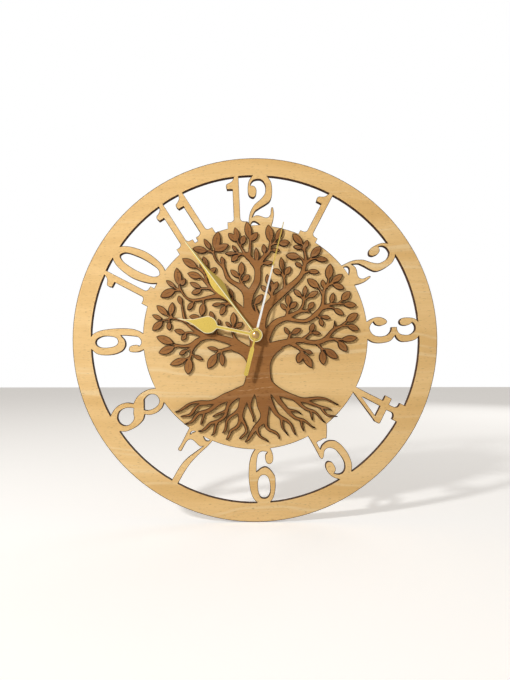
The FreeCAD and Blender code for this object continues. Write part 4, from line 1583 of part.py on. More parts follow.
def build_electrics():
    """Make the board with its quartz can and chip, the cell and its two contacts."""
    board = doc.addObject("PartDesign::Body", "circuit_board")
    middle = (board_left + size.board_width / 2, board_low + size.board_height / 2)
    pad(board, "board_pad", rectangle_sketch(board, "board_sketch", "board_width",
                                             "board_height", 0.0, middle), "board_thickness")
    doc.recompute()
    stand("circuit_board", board, board_back)
    chip_place = (board_left + CHIP_SHARE[0] * size.board_width,
                  board_low + CHIP_SHARE[1] * size.board_height)
    stand("control_chip", cylinder("control_chip", "chip_radius", "chip_height", chip_place),
          board_front)
    can_place = Vector(board_left + CAN_SHARE[0] * size.board_width,
                       board_low + CAN_SHARE[1] * size.board_height,
                       board_front + size.can_radius + size.part_gap)
    can = cylinder("quartz_can", "can_radius", "can_length")
    can.Placement = FreeCAD.Placement(can_place, UPRIGHT.inverted())
    stand("quartz_can", can)

    cell_start = (-cell_half_length, cell_middle, cell_depth)
    body = lying("cell_body", "cell_radius", "cell_length", cell_start)
    nub = lying("cell_nub", "cell_nub_radius", "cell_length + cell_nub_length", cell_start)
    stand("battery_cell", fused("battery_cell", [body, nub]))

    strip = size.contact_strip_width
    strip_back = size.contact_strip_back
    thick = size.contact_thickness
    high, wide = size.contact_height / 2, size.contact_width / 2
    board_edge = board_left + size.board_width
    foot_low = board_low + size.contact_foot / 2
    foot_high = foot_low + size.contact_foot
    touch = cell_half_length + size.contact_touch_gap
    button = Part.makeCylinder(size.contact_button_radius, inner_half - thick / 2 - touch,
                               Vector(touch, cell_middle, cell_depth), Vector(1, 0, 0))
    plus = joined([
        slab(inner_half - thick, inner_half, cell_middle - high, cell_middle + high,
             cell_depth - wide, cell_depth + wide), button,
        slab(inner_half - thick, inner_half, cell_middle, foot_high, strip_back,
             strip_back + strip),
        slab(board_edge - size.contact_foot / 2, inner_half, foot_low, foot_high, board_front,
             board_front + thick)])
    feature("battery_contact_plus", plus)

    reach = inner_half - thick - touch
    leaf = [Vector(thick - inner_half + x * reach, cell_middle + y * high,
                   cell_depth - size.spring_width / 2) for x, y in SPRING_SHARES]
    spring = Part.Face(Part.makePolygon(leaf + leaf[:1])).extrude(Vector(0, 0, size.spring_width))
    run_low = bay_top + size.bay_wall
    riser = size.contact_riser_place
    minus = joined([
        slab(-inner_half, thick - inner_half, cell_middle - high, cell_middle + high,
             cell_depth - wide, cell_depth + wide), spring,
        slab(-inner_half, thick - inner_half, cell_middle, run_low + thick, strip_back,
             strip_back + strip),
        slab(-inner_half, riser + thick, run_low, run_low + thick, strip_back, strip_back + strip),
        slab(riser, riser + thick, run_low, foot_high, strip_back, strip_back + strip)])
    feature("battery_contact_minus", minus)


build_dial()
build_tree()
build_hour_hand()
build_minute_hand()
build_second_hand()
build_cap()
build_fixing()
build_rear_case()
build_front_case()
build_train()
build_bridge()
build_motor()
build_electrics()
doc.recompute()

for thing in doc.Objects:
    if {"Invalid", "Error"} & set(thing.State):
        raise ValueError(f"{thing.Name} failed: {thing.State}")
for label, piece in nodes.items():
    if piece.Shape.isNull() or not piece.Shape.isValid():
        raise ValueError(f"{label} has no valid shape")

os.makedirs("parts", exist_ok=True)
for label, piece in nodes.items():
    piece.Shape.exportStep(f"parts/{label}.step")
    print(label, len(piece.Shape.Solids), round(piece.Shape.Volume, 2))
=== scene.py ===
import json
import logging
import math
from collections.abc import Callable
from dataclasses import dataclass
from enum import Enum

import bpy
from mathutils import Matrix, Vector


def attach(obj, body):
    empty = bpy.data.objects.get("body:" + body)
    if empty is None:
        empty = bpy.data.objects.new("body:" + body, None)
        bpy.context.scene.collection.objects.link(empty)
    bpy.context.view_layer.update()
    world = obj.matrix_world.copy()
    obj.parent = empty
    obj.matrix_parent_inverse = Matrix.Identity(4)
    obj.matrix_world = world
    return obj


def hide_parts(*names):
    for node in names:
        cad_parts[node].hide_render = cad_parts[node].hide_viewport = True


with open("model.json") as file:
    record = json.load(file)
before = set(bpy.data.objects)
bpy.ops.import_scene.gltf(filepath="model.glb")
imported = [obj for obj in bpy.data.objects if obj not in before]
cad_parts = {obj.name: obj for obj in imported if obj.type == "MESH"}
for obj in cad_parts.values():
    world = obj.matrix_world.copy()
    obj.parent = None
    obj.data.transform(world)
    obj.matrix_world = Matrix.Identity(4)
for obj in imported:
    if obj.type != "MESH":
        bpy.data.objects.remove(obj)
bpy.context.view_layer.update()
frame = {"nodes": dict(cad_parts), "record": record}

logging.basicConfig(level=logging.INFO, format="%(message)s")
log = logging.getLogger("clock")

Triple = tuple[float, float, float]
Socket = bpy.types.NodeSocket
Number = Socket | float
Colour = Socket | Triple

MM = 0.001
BODY = "clock_body"

# The places of a mix node's two colours among its inputs, and of the mixed one in its outputs.
MIX_COLOURS = (6, 7)
MIX_RESULT = 2

# Points of a CAD mesh that are nearer to each other than this are one point.
MERGE_REACH = 0.002 * MM


@dataclass(frozen=True)
class Noise:
    """How finely a noise runs along x, y and z, and how many finer layers it has."""

    fineness: Triple
    detail: float


WANDER_NOISE = Noise((9.0, 9.0, 9.0), 2.0)
BAND_NOISE = Noise((1.8, 40.0, 40.0), 3.0)
STREAK_NOISE = Noise((3.0, 160.0, 160.0), 3.0)
FIBRE_NOISE = Noise((40.0, 900.0, 900.0), 3.0)
PORE_NOISE = Noise((260.0, 1900.0, 1900.0), 1.0)
PATCH_NOISE = Noise((60.0, 60.0, 60.0), 3.0)
SOOT_NOISE = Noise((500.0, 90.0, 500.0), 4.0)
GRIT_NOISE = Noise((1800.0, 1800.0, 1800.0), 2.0)
WEAR_NOISE = Noise((70.0, 70.0, 70.0), 4.0)
BRUSH_NOISE = Noise((90.0, 2600.0, 2600.0), 2.0)
NOISE_MIDDLE = 0.5

# The two levels between which each mask rises from nothing to all.
BAND_LEVELS = (0.30, 0.70)
STREAK_LEVELS = (0.56, 0.72)
FIBRE_LEVELS = (0.35, 0.75)
PORE_LEVELS = (0.62, 0.74)
BURN_LEVELS = (0.10, 0.55)
SOOT_LEVELS = (0.35, 0.70)
PLY_LEVELS = (-0.25, 0.25)
WEAR_LEVELS = (0.35, 0.75)
BRUSH_LEVELS = (0.30, 0.70)

# The height and the strength with which each relief shows.
GRIT_RELIEF = (0.05 * MM, 0.6)
BRUSH_RELIEF = (0.02 * MM, 0.4)
WIRE_RELIEF = (0.1 * MM, 0.8)

# How far the grain wanders, how far patches shift the burn, how dark a worn or brushed patch
# is beside its colour, and the winding's wave.
WANDER_REACH = 30 * MM
PATCH_REACH = 0.35
DARKER_SHARE = 0.72
WIRE_SCALE = 900.0
WIRE_UNEVENNESS = 0.4

# Leaves of the tree, in millimetres from the hands' axis: stalk x and z, tip x and z.
LEAVES = [
    (-33.9, 71, -31, 86.8), (-37, 71.2, -43, 80.5), (-39.5, 70, -52.5, 72.3),
    (-34, 70, -22.3, 75.8), (-26.5, 58.5, -28.3, 65.6), (-48, 56, -60.8, 63.8),
    (-44.5, 48, -56.4, 51.5), (-39.8, 57, -43.5, 65.7), (-42.8, 52, -46.3, 59.5),
    (-39, 51, -32.3, 56.2), (-63, 41, -65.2, 56.2), (-66, 39.5, -73.9, 45.6),
    (-61.5, 40.8, -58, 47.2), (-65.8, 38, -78.5, 31.8), (-45, 39.3, -54.5, 43.8),
    (-44.5, 37.5, -53, 34.8), (-51, 27.5, -56, 21), (-43, 27, -44.6, 15.8),
    (-45.5, 15, -54.7, 15.6), (-34.5, 13.5, -37.4, 20), (-29, 9.5, -30.8, 13.4),
    (-27.5, 26.3, -36, 24.8), (-25, 24.8, -29, 16.6), (-18.3, 7.6, -18.2, 19.3),
    (-16.5, 6.5, -10.5, 10.5), (-20.3, 7, -24.8, 11.2), (-18.7, 31.6, -21.6, 38.9),
    (-61.2, 25.3, -63.3, 33), (-72, 16.5, -81.4, 24.8), (-70, 16, -68.2, 27.4),
    (-76.5, 13, -85, 16.9), (-76, 11.8, -84.6, 4.2), (-71, 11.5, -70.8, 3.9),
    (-67, -6.5, -81.3, -1), (-66, -9.3, -79.3, -14.5), (-57.5, 2, -66.9, 4.2),
    (-56.5, 1.2, -60.8, -4), (-56.5, -12, -62.5, -15.8), (-51.3, -16.2, -42.9, -19.8),
    (-55.5, -18.8, -70, -24), (-54, -18.5, -55.3, -32), (-30, -12, -39.8, -9.8),
    (-31.8, -14.8, -39.1, -27.2), (-28, -14, -27, -25.3), (-15.5, 78.3, -22.8, 85.2),
    (-14.3, 79.5, -17.2, 90.2), (-11.8, 75.5, -9.2, 83.4), (-5.3, 80, -7.2, 95.4),
    (-4.3, 78.5, 1.8, 86), (-16, 68.3, -25.6, 68), (-15.4, 69.3, -19.4, 75),
    (-14.3, 67, -20.2, 61.5), (1.2, 60.5, 0.3, 73.3), (12.6, 77.5, 10.5, 92.6),
    (7.3, 68, 6.7, 76.1), (16.5, 79, 22.3, 90), (19, 76.5, 28.6, 77.6), (13, 71, 20.3, 70.8),
    (5.5, 60, 14.8, 60.5), (-12, 49.3, -11.6, 61.3), (-13.5, 48, -21, 54.5), (-10.5, 45, -5, 50.4),
    (10.3, 42, 9.5, 51), (9.5, 36.5, 4.4, 41.2), (13.5, 38, 13.2, 46), (15.3, 37.5, 18, 44.8),
    (22.3, 53, 21.1, 65.2), (21.5, 51, 14.2, 54.8), (24.2, 50, 28.9, 57.3), (-0.8, 25.5, 6, 34),
    (39, 75.5, 30.8, 85), (39, 72.6, 31.1, 74.2), (41, 72.5, 43.2, 79.6), (45.8, 65, 54.2, 74.2),
    (49.5, 63.8, 60, 62.9), (37, 65.2, 24.9, 66.8), (38.6, 57, 32.6, 60.4), (43, 53.5, 53, 52.5),
    (60, 46, 62, 59.8), (62.5, 43.8, 72.2, 50.8), (63.5, 42.5, 73.5, 38.9), (52.5, 39.5, 42.6, 47),
    (56.5, 39, 55.2, 46.5), (38, 32, 31.4, 38), (40.3, 32, 41.2, 41.5), (42.5, 31.5, 51.8, 36.5),
    (27, 24, 26.8, 34.4), (25.8, 21, 20.2, 26.5), (28.3, 22.3, 34, 27.8), (43.5, 21.8, 48, 27.6),
    (62.3, 26.5, 64.3, 35.6), (71, 28.8, 78, 36.6), (72, 26, 83.5, 24.8), (64.3, 22.3, 72.7, 17),
    (53.5, 15.7, 61.9, 14.3), (52.8, 14.3, 55.3, 7.2), (45, 3, 47.8, 10.2), (45.8, 2.3, 53.6, 1.7),
    (29, 1.5, 37.5, 5.6), (27.6, 0.5, 23.5, 7), (74.5, 11.3, 84.2, 18.4), (75.3, 8.6, 85.2, 4.6),
    (70, -3.5, 83.8, -1.8), (67.5, -4.5, 75, -13.2), (56.5, -10.8, 67.2, -19),
    (54.5, -12, 55.4, -24.2), (39.8, -12.3, 46.8, -14.8), (37.2, -13.5, 34.5, -22.9),
    (39, -14.5, 46.2, -26.8),
]

# The pale growth lines across the trunk, as points along each.
GROWTH_LINES = [
    [(-8.6, -35.2), (-3.0, -34.7), (1.9, -35.3), (7.0, -34.4), (11.6, -34.0)],
    [(-15.5, -45.2), (-8.0, -44.9), (-1.7, -44.1), (3.5, -43.0), (7.7, -42.5), (15.6, -41.9)],
]


class Texture(Enum):
    """What the surface of a plain finish is like close up."""

    SMOOTH = "smooth"
    MOULDED = "moulded"
    BRUSHED = "brushed"
    WOUND = "wound"


class Recipe:
    """The node tree of a material, a group or the world, with ways to add and join its nodes."""

    def __init__(self, tree: bpy.types.NodeTree) -> None:
        """Keep the tree that gets the nodes."""
        self.tree = tree

    def add(self, kind: str, **settings: object) -> bpy.types.Node:
        """Add one node.

        Args:
            kind: the node's type name.
            settings: its attributes.

        Returns:
            The node.
        """
        node = self.tree.nodes.new(kind)
        for name, value in settings.items():
            setattr(node, name, value)
        return node

    def join(self, start: Socket, end: Socket) -> None:
        """Link an output to an input."""
        self.tree.links.new(start, end)

    def math(self, operation: str, first: Number, second: Number | None = None) -> Socket:
        """Add a math node.

        Args:
            operation: its operation.
            first: a socket or a number.
            second: a socket or a number, where the operation takes two.

        Returns:
            The result's socket.
        """
        node = self.add("ShaderNodeMath", operation=operation)
        for place, value in enumerate((first, second)):
            if isinstance(value, Socket):
                self.join(value, node.inputs[place])
            elif value is not None:
                node.inputs[place].default_value = value
        return node.outputs[0]

    def blend(self, mask: Socket, first: Colour, second: Colour) -> Socket:
        """Blend two colours by a mask.

        Args:
            mask: the share of the second colour.
            first: a socket or a colour.
            second: a socket or a colour.

        Returns:
            The blended colour's socket.
        """
        node = self.add("ShaderNodeMix", data_type="RGBA")
        self.join(mask, node.inputs["Factor"])
        for place, value in zip(MIX_COLOURS, (first, second)):
            if isinstance(value, Socket):
                self.join(value, node.inputs[place])
            else:
                node.inputs[place].default_value = (*value, 1.0)
        return node.outputs[MIX_RESULT]

    def ramp(self, value: Socket, low: float, high: float) -> Socket:
        """Stretch a value so that it runs from 0 to 1 between two levels.

        Args:
            value: the value.
            low: the level that becomes 0.
            high: the level that becomes 1.

        Returns:
            The stretched value's socket.
        """
        node = self.add("ShaderNodeMapRange", interpolation_type="SMOOTHSTEP")
        self.join(value, node.inputs["Value"])
        node.inputs["From Min"].default_value = low
        node.inputs["From Max"].default_value = high
        return node.outputs["Result"]

    def noise(self, place: Socket, kind: Noise) -> Socket:
        """Add a noise.

        Args:
            place: the coordinates.
            kind: how fine and how layered it is.

        Returns:
            The noise's value socket.
        """
        mapping = self.add("ShaderNodeMapping")
        mapping.inputs["Scale"].default_value = kind.fineness
        self.join(place, mapping.inputs["Vector"])
        node = self.add("ShaderNodeTexNoise")
        node.inputs["Scale"].default_value = 1.0
        node.inputs["Detail"].default_value = kind.detail
        self.join(mapping.outputs["Vector"], node.inputs["Vector"])
        return node.outputs["Fac"]


def open_group(name: str, inputs: dict[str, str],
               outputs: dict[str, str]) -> tuple[Recipe, bpy.types.Node, bpy.types.Node]:
    """Start a node group.

    Args:
        name: the group's name.
        inputs: the input sockets' names and types.
        outputs: the output sockets' names and types.

    Returns:
        The group's recipe, its input node and its output node.
    """
    tree = bpy.data.node_groups.new(name, "ShaderNodeTree")
    for label, kind in inputs.items():
        tree.interface.new_socket(label, in_out="INPUT", socket_type=kind)
    for label, kind in outputs.items():
        tree.interface.new_socket(label, in_out="OUTPUT", socket_type=kind)
    recipe = Recipe(tree)
    return recipe, recipe.add("NodeGroupInput"), recipe.add("NodeGroupOutput")


def grain_group() -> bpy.types.NodeTree:
    """Make the grain of rotary-cut veneer, which runs across the clock.

    Returns:
        A group with the masks Bands, Streaks, Fibres and Pores.
    """
    recipe, start, end = open_group(
        "veneer_grain", {"Place": "NodeSocketVector"},
        {"Bands": "NodeSocketFloat", "Streaks": "NodeSocketFloat", "Fibres": "NodeSocketFloat",
         "Pores": "NodeSocketFloat"})
    place = start.outputs["Place"]
    wander = recipe.noise(place, WANDER_NOISE)
    offset = recipe.add("ShaderNodeCombineXYZ")
    recipe.join(recipe.math("MULTIPLY", wander, WANDER_REACH), offset.inputs["Z"])
    moved = recipe.add("ShaderNodeVectorMath", operation="ADD")
    recipe.join(place, moved.inputs[0])
    recipe.join(offset.outputs["Vector"], moved.inputs[1])
    wavy = moved.outputs["Vector"]
    recipe.join(recipe.noise(wavy, BAND_NOISE), end.inputs["Bands"])
    lines = recipe.noise(wavy, STREAK_NOISE)
    recipe.join(recipe.ramp(lines, *STREAK_LEVELS), end.inputs["Streaks"])
    recipe.join(recipe.noise(place, FIBRE_NOISE), end.inputs["Fibres"])
    pores = recipe.noise(place, PORE_NOISE)
    recipe.join(recipe.ramp(pores, *PORE_LEVELS), end.inputs["Pores"])
    return recipe.tree


def scorch_group() -> bpy.types.NodeTree:
    """Make the burn of a laser cut from how near a point is to the cut.

    Returns:
        A group with the masks Burn, dark at the cut, and Char, darker in patches.
    """
    recipe, start, end = open_group(
        "laser_scorch", {"Place": "NodeSocketVector", "Nearness": "NodeSocketFloat"},
        {"Burn": "NodeSocketFloat", "Char": "NodeSocketFloat"})
    place = start.outputs["Place"]
    patches = recipe.math("SUBTRACT", recipe.noise(place, PATCH_NOISE), NOISE_MIDDLE)
    uneven = recipe.math("ADD", start.outputs["Nearness"],
                         recipe.math("MULTIPLY", patches, PATCH_REACH))
    recipe.join(recipe.ramp(uneven, *BURN_LEVELS), end.inputs["Burn"])
    soot = recipe.noise(place, SOOT_NOISE)
    recipe.join(recipe.ramp(soot, *SOOT_LEVELS), end.inputs["Char"])
    return recipe.tree


def speckle_group() -> bpy.types.NodeTree:
    """Make the fine texture of a spark-eroded mould.

    Returns:
        A group with the height Grit and the mask Wear.
    """
    recipe, start, end = open_group(
        "moulded_grit", {"Place": "NodeSocketVector"},
        {"Grit": "NodeSocketFloat", "Wear": "NodeSocketFloat"})
    place = start.outputs["Place"]
    recipe.join(recipe.noise(place, GRIT_NOISE), end.inputs["Grit"])
    recipe.join(recipe.noise(place, WEAR_NOISE), end.inputs["Wear"])
    return recipe.tree


GRAIN = grain_group()
SCORCH = scorch_group()
SPECKLE = speckle_group()


def start_material(name: str) -> tuple[bpy.types.Material, Recipe, bpy.types.Node, bpy.types.Node]:
    """Start a material with one shader.

    Args:
        name: the material's name.

    Returns:
        The material, its recipe, its shader node and its coordinates node.
    """
    material = bpy.data.materials.new(name)
    material.use_nodes = True
    recipe = Recipe(material.node_tree)
    shader = next(node for node in recipe.tree.nodes if node.type == "BSDF_PRINCIPLED")
    return material, recipe, shader, recipe.add("ShaderNodeTexCoord")


def add_bump(recipe: Recipe, shader: bpy.types.Node, height: Socket,
             depth: float, strength: float) -> bpy.types.Node:
    """Raise a shader's surface by a height.

    Args:
        recipe: the material's recipe.
        shader: the shader.
        height: the height's socket.
        depth: the height in metres at a value of 1.
        strength: how strongly it shows.

    Returns:
        The bump node.
    """
    bump = recipe.add("ShaderNodeBump")
    bump.inputs["Strength"].default_value = strength
    bump.inputs["Distance"].default_value = depth
    recipe.join(height, bump.inputs["Height"])
    recipe.join(bump.outputs["Normal"], shader.inputs["Normal"])
    return bump


@dataclass(frozen=True)
class PlywoodFinish:
    """Sanded plywood with edges burnt by the laser.

    Its back is where the sheet's back lies along y, and each share is how much of a mask shows.
    """

    name: str
    pale: Triple
    deep: Triple
    streak: Triple
    burnt: Triple
    charred: Triple
    back: float
    thickness: float
    plies: int
    pore_share: float = 0.35
    streak_share: float = 0.5
    fibre_share: float = 0.30
    char_share: float = 0.8
    ply_share: float = 0.5
    burn_gain: float = 1.0
    edge_round: float = 0.2 * MM
    edge_samples: int = 4
    fibre_height: float = 0.06 * MM
    fibre_strength: float = 0.5
    roughness: float = 0.62
    specular: float = 0.15

    def material(self) -> bpy.types.Material:
        """Make the material.

        Returns:
            The material.
        """
        material, recipe, shader, coordinates = start_material(self.name)
        place = coordinates.outputs["Object"]
        grain = recipe.add("ShaderNodeGroup", node_tree=GRAIN)
        recipe.join(place, grain.inputs["Place"])
        face = self.face_colour(recipe, grain)
        edge = self.edge_colour(recipe, place)
        near = recipe.add("ShaderNodeAttribute", attribute_name="scorch")
        scorch = recipe.add("ShaderNodeGroup", node_tree=SCORCH)
        recipe.join(place, scorch.inputs["Place"])
        nearness = recipe.math("MULTIPLY", near.outputs["Fac"], self.burn_gain)
        recipe.join(nearness, scorch.inputs["Nearness"])
        char = recipe.math("MULTIPLY", scorch.outputs["Char"], self.char_share)
        burn = recipe.blend(char, edge, self.charred)
        recipe.join(recipe.blend(scorch.outputs["Burn"], face, burn), shader.inputs["Base Color"])
        shader.inputs["Roughness"].default_value = self.roughness
        shader.inputs["Specular IOR Level"].default_value = self.specular
        bump = add_bump(recipe, shader, grain.outputs["Fibres"], self.fibre_height,
                        self.fibre_strength)
        rounded = recipe.add("ShaderNodeBevel", samples=self.edge_samples)
        rounded.inputs["Radius"].default_value = self.edge_round
        recipe.join(rounded.outputs["Normal"], bump.inputs["Normal"])
        return material

    def face_colour(self, recipe: Recipe, grain: bpy.types.Node) -> Socket:
        """Colour the sanded face by its grain.

        Args:
            recipe: the material's recipe.
            grain: the grain group's node.

        Returns:
            The face colour's socket.
        """
        bands = recipe.ramp(grain.outputs["Bands"], *BAND_LEVELS)
        face = recipe.blend(bands, self.pale, self.deep)
        streaks = recipe.math("MULTIPLY", grain.outputs["Streaks"], self.streak_share)
        face = recipe.blend(streaks, face, self.streak)
        fibres = recipe.ramp(grain.outputs["Fibres"], *FIBRE_LEVELS)
        fibres = recipe.math("MULTIPLY", fibres, self.fibre_share)
        face = recipe.blend(fibres, face, self.deep)
        pores = recipe.math("MULTIPLY", grain.outputs["Pores"], self.pore_share)
        return recipe.blend(pores, face, self.burnt)

    def edge_colour(self, recipe: Recipe, place: Socket) -> Socket:
        """Stripe the cut edge with its plies.

        Args:
            recipe: the material's recipe.
            place: the object's coordinates.

        Returns:
            The edge colour's socket.
        """
        axes = recipe.add("ShaderNodeSeparateXYZ")
        recipe.join(place, axes.inputs["Vector"])
        depth = recipe.math("DIVIDE", recipe.math("SUBTRACT", self.back, axes.outputs["Y"]),
                            self.thickness)
        wave = recipe.math("SINE", recipe.math("MULTIPLY", depth, math.tau * self.plies / 2))
        plies = recipe.math("MULTIPLY", recipe.ramp(wave, *PLY_LEVELS), self.ply_share)
        return recipe.blend(plies, self.burnt, self.charred)


@dataclass(frozen=True)
class PlainFinish:
    """One colour of metal, plastic or rubber."""

    name: str
    colour: Triple
    roughness: float
    metallic: float = 0.0
    texture: Texture = Texture.SMOOTH
    specular: float = 0.5
    coat: float = 0.0

    def material(self) -> bpy.types.Material:
        """Make the material.

        Returns:
            The material.
        """
        material, recipe, shader, coordinates = start_material(self.name)
        place = coordinates.outputs["Object"]
        shader.inputs["Base Color"].default_value = (*self.colour, 1.0)
        shader.inputs["Roughness"].default_value = self.roughness
        shader.inputs["Metallic"].default_value = self.metallic
        shader.inputs["Specular IOR Level"].default_value = self.specular
        shader.inputs["Coat Weight"].default_value = self.coat
        darker = tuple(channel * DARKER_SHARE for channel in self.colour)
        if self.texture is Texture.MOULDED:
            grit = recipe.add("ShaderNodeGroup", node_tree=SPECKLE)
            recipe.join(place, grit.inputs["Place"])
            wear = recipe.ramp(grit.outputs["Wear"], *WEAR_LEVELS)
            recipe.join(recipe.blend(wear, self.colour, darker), shader.inputs["Base Color"])
            add_bump(recipe, shader, grit.outputs["Grit"], *GRIT_RELIEF)
        elif self.texture is Texture.BRUSHED:
            lines = recipe.noise(place, BRUSH_NOISE)
            recipe.join(recipe.blend(recipe.ramp(lines, *BRUSH_LEVELS), self.colour, darker),
                        shader.inputs["Base Color"])
            add_bump(recipe, shader, lines, *BRUSH_RELIEF)
        elif self.texture is Texture.WOUND:
            wave = recipe.add("ShaderNodeTexWave", bands_direction="X")
            wave.inputs["Scale"].default_value = WIRE_SCALE
            wave.inputs["Distortion"].default_value = WIRE_UNEVENNESS
            recipe.join(place, wave.inputs["Vector"])
            recipe.join(recipe.blend(wave.outputs["Fac"], darker, self.colour),
                        shader.inputs["Base Color"])
            add_bump(recipe, shader, wave.outputs["Fac"], *WIRE_RELIEF)
        return material


@dataclass(frozen=True)
class PaintedReflectionFinish:
    """Gold with a painted reflection: a pale stretch along the second hand, painted where a bright
    light glares on it.
    """

    name: str
    plain: Triple
    # The colour of the painted reflection.
    pale: Triple
    start: float = 5 * MM
    end: float = 57 * MM
    fade: float = 2 * MM
    lean: float = math.radians(13.9)
    roughness: float = 0.22

    def material(self) -> bpy.types.Material:
        """Make the material.

        Returns:
            The material.
        """
        material, recipe, shader, coordinates = start_material(self.name)
        along = recipe.add("ShaderNodeVectorMath", operation="DOT_PRODUCT")
        recipe.join(coordinates.outputs["Object"], along.inputs[0])
        along.inputs[1].default_value = (math.sin(self.lean), 0.0, math.cos(self.lean))
        reach = along.outputs["Value"]
        # The painted reflection runs from start to end along the hand, fading in and out over fade.
        after = recipe.ramp(reach, self.start, self.start + self.fade)
        before = recipe.math("SUBTRACT", 1.0, recipe.ramp(reach, self.end, self.end + self.fade))
        painted_reflection_share = recipe.math("MULTIPLY", after, before)
        recipe.join(recipe.blend(painted_reflection_share, self.plain, self.pale), shader.inputs["Base Color"])
        shader.inputs["Metallic"].default_value = 1.0
        shader.inputs["Roughness"].default_value = self.roughness
        return material


@dataclass(frozen=True)
class CellFinish:
    """The printed film of a round battery cell, with bare metal at its ends."""

    name: str
    wrap: Triple
    band: Triple
    steel: Triple
    band_start: float
    wrap_end: float
    band_shine: float = 0.8
    roughness: float = 0.30

    def material(self) -> bpy.types.Material:
        """Make the material.

        Returns:
            The material.
        """
        material, recipe, shader, coordinates = start_material(self.name)
        axes = recipe.add("ShaderNodeSeparateXYZ")
        recipe.join(coordinates.outputs["Object"], axes.inputs["Vector"])
        along = axes.outputs["X"]
        banded = recipe.math("GREATER_THAN", along, self.band_start)
        bare = recipe.math("GREATER_THAN", recipe.math("ABSOLUTE", along), self.wrap_end)
        colour = recipe.blend(banded, self.wrap, self.band)
        recipe.join(recipe.blend(bare, colour, self.steel), shader.inputs["Base Color"])
        metal = recipe.math("MAXIMUM", recipe.math("MULTIPLY", banded, self.band_shine), bare)
        recipe.join(metal, shader.inputs["Metallic"])
        shader.inputs["Roughness"].default_value = self.roughness
        return material


Finish = PlywoodFinish | PlainFinish | PaintedReflectionFinish | CellFinish

PALE_PLYWOOD = PlywoodFinish(
    "pale_plywood", pale=(0.880, 0.610, 0.285), deep=(0.730, 0.460, 0.175),
    streak=(0.900, 0.720, 0.430), burnt=(0.105, 0.040, 0.014), charred=(0.030, 0.012, 0.006),
    back=-17 * MM, thickness=4 * MM, plies=3, burn_gain=1.2)
BROWN_PLYWOOD = PlywoodFinish(
    "brown_plywood", pale=(0.395, 0.180, 0.055), deep=(0.265, 0.108, 0.032),
    streak=(0.460, 0.250, 0.105), burnt=(0.045, 0.016, 0.006), charred=(0.016, 0.006, 0.003),
    back=-21 * MM, thickness=2 * MM, plies=3, pore_share=0.6, burn_gain=2.1, edge_round=0.7 * MM,
    roughness=0.66)
GOLD = PlainFinish("gold_hands", (0.780, 0.560, 0.125), 0.26, metallic=1.0)
# Paler gold painted on the hands' edges as a highlight.
GOLD_PAINTED_HIGHLIGHT = PlainFinish("gold_painted_highlight", (0.960, 0.860, 0.560), 0.12, metallic=1.0)
# The second hand's gold, with a painted reflection along its upper stretch.
GOLD_WITH_PAINTED_REFLECTION = PaintedReflectionFinish("gold_painted_reflection", (0.780, 0.560, 0.125), (0.970, 0.950, 0.890))
BURNT_LINE = PlainFinish("burnt_line", (0.060, 0.022, 0.009), 0.75)
GROWTH_LINE = PlainFinish("growth_line", (0.560, 0.330, 0.150), 0.66)
SLOT_FINISHES: dict[str, Finish] = {
    "polished_brass": PlainFinish("polished_brass", (0.720, 0.450, 0.180), 0.08, metallic=1.0),
    "cell_wrap": CellFinish("cell_wrap", wrap=(0.020, 0.060, 0.220), band=(0.620, 0.330, 0.120),
                            steel=(0.600, 0.600, 0.610), band_start=15 * MM,
                            wrap_end=24.4 * MM),
    "bush_brass": PlainFinish("bush_brass", (0.760, 0.540, 0.240), 0.30, metallic=1.0),
    "black_rubber": PlainFinish("black_rubber", (0.022, 0.022, 0.022), 0.80),
    "case_plastic": PlainFinish("case_plastic", (0.020, 0.020, 0.021), 0.48,
                                texture=Texture.MOULDED),
    "bridge_plastic": PlainFinish("bridge_plastic", (0.620, 0.620, 0.580), 0.50,
                                  texture=Texture.MOULDED),
    "train_plastic": PlainFinish("train_plastic", (0.760, 0.740, 0.660), 0.45),
    "bobbin_plastic": PlainFinish("bobbin_plastic", (0.090, 0.090, 0.100), 0.50),
    "screw_steel": PlainFinish("screw_steel", (0.560, 0.560, 0.580), 0.28, metallic=1.0),
    "motor_steel": PlainFinish("motor_steel", (0.500, 0.500, 0.520), 0.38, metallic=1.0,
                               texture=Texture.BRUSHED),
    "can_steel": PlainFinish("can_steel", (0.680, 0.680, 0.700), 0.22, metallic=1.0),
    "contact_steel": PlainFinish("contact_steel", (0.700, 0.690, 0.660), 0.20, metallic=1.0),
    "copper_wire": PlainFinish("copper_wire", (0.560, 0.190, 0.060), 0.30, metallic=0.8,
                               texture=Texture.WOUND),
    "board": PlainFinish("board", (0.020, 0.140, 0.060), 0.35, coat=0.3),
    "chip": PlainFinish("chip", (0.012, 0.012, 0.012), 0.40),
    "magnet": PlainFinish("magnet", (0.120, 0.120, 0.130), 0.42, metallic=0.8),
    "knob_plastic": PlainFinish("knob_plastic", (0.700, 0.700, 0.660), 0.45,
                                texture=Texture.MOULDED),
}


def select_only(piece: bpy.types.Object) -> None:
    """Leave one object selected and active.

    Args:
        piece: the object.
    """
    bpy.ops.object.select_all(action="DESELECT")
    piece.select_set(True)
    bpy.context.view_layer.objects.active = piece


def edit(piece: bpy.types.Object, kind: str = "FACE") -> None:
    """Open a piece for editing with nothing selected.

    Args:
        piece: the object.
        kind: what is selected in it: VERT, EDGE or FACE.
    """
    select_only(piece)
    bpy.ops.object.mode_set(mode="EDIT")
    bpy.ops.mesh.select_mode(type=kind)
    bpy.ops.mesh.select_all(action="DESELECT")


def leave() -> None:
    """Close the piece that is open for editing."""
    bpy.ops.object.mode_set(mode="OBJECT")


def unmark(piece: bpy.types.Object, kind: str = "FACE") -> None:
    """Deselect a piece's mesh, so that code can select in it."""
    edit(piece, kind)
    leave()


def reopen() -> None:
    """Open the active piece for editing with its selection kept."""
    bpy.ops.object.mode_set(mode="EDIT")


def material_of(finish: Finish) -> bpy.types.Material:
    """Return a finish's material, made once."""
    return bpy.data.materials.get(finish.name) or finish.material()


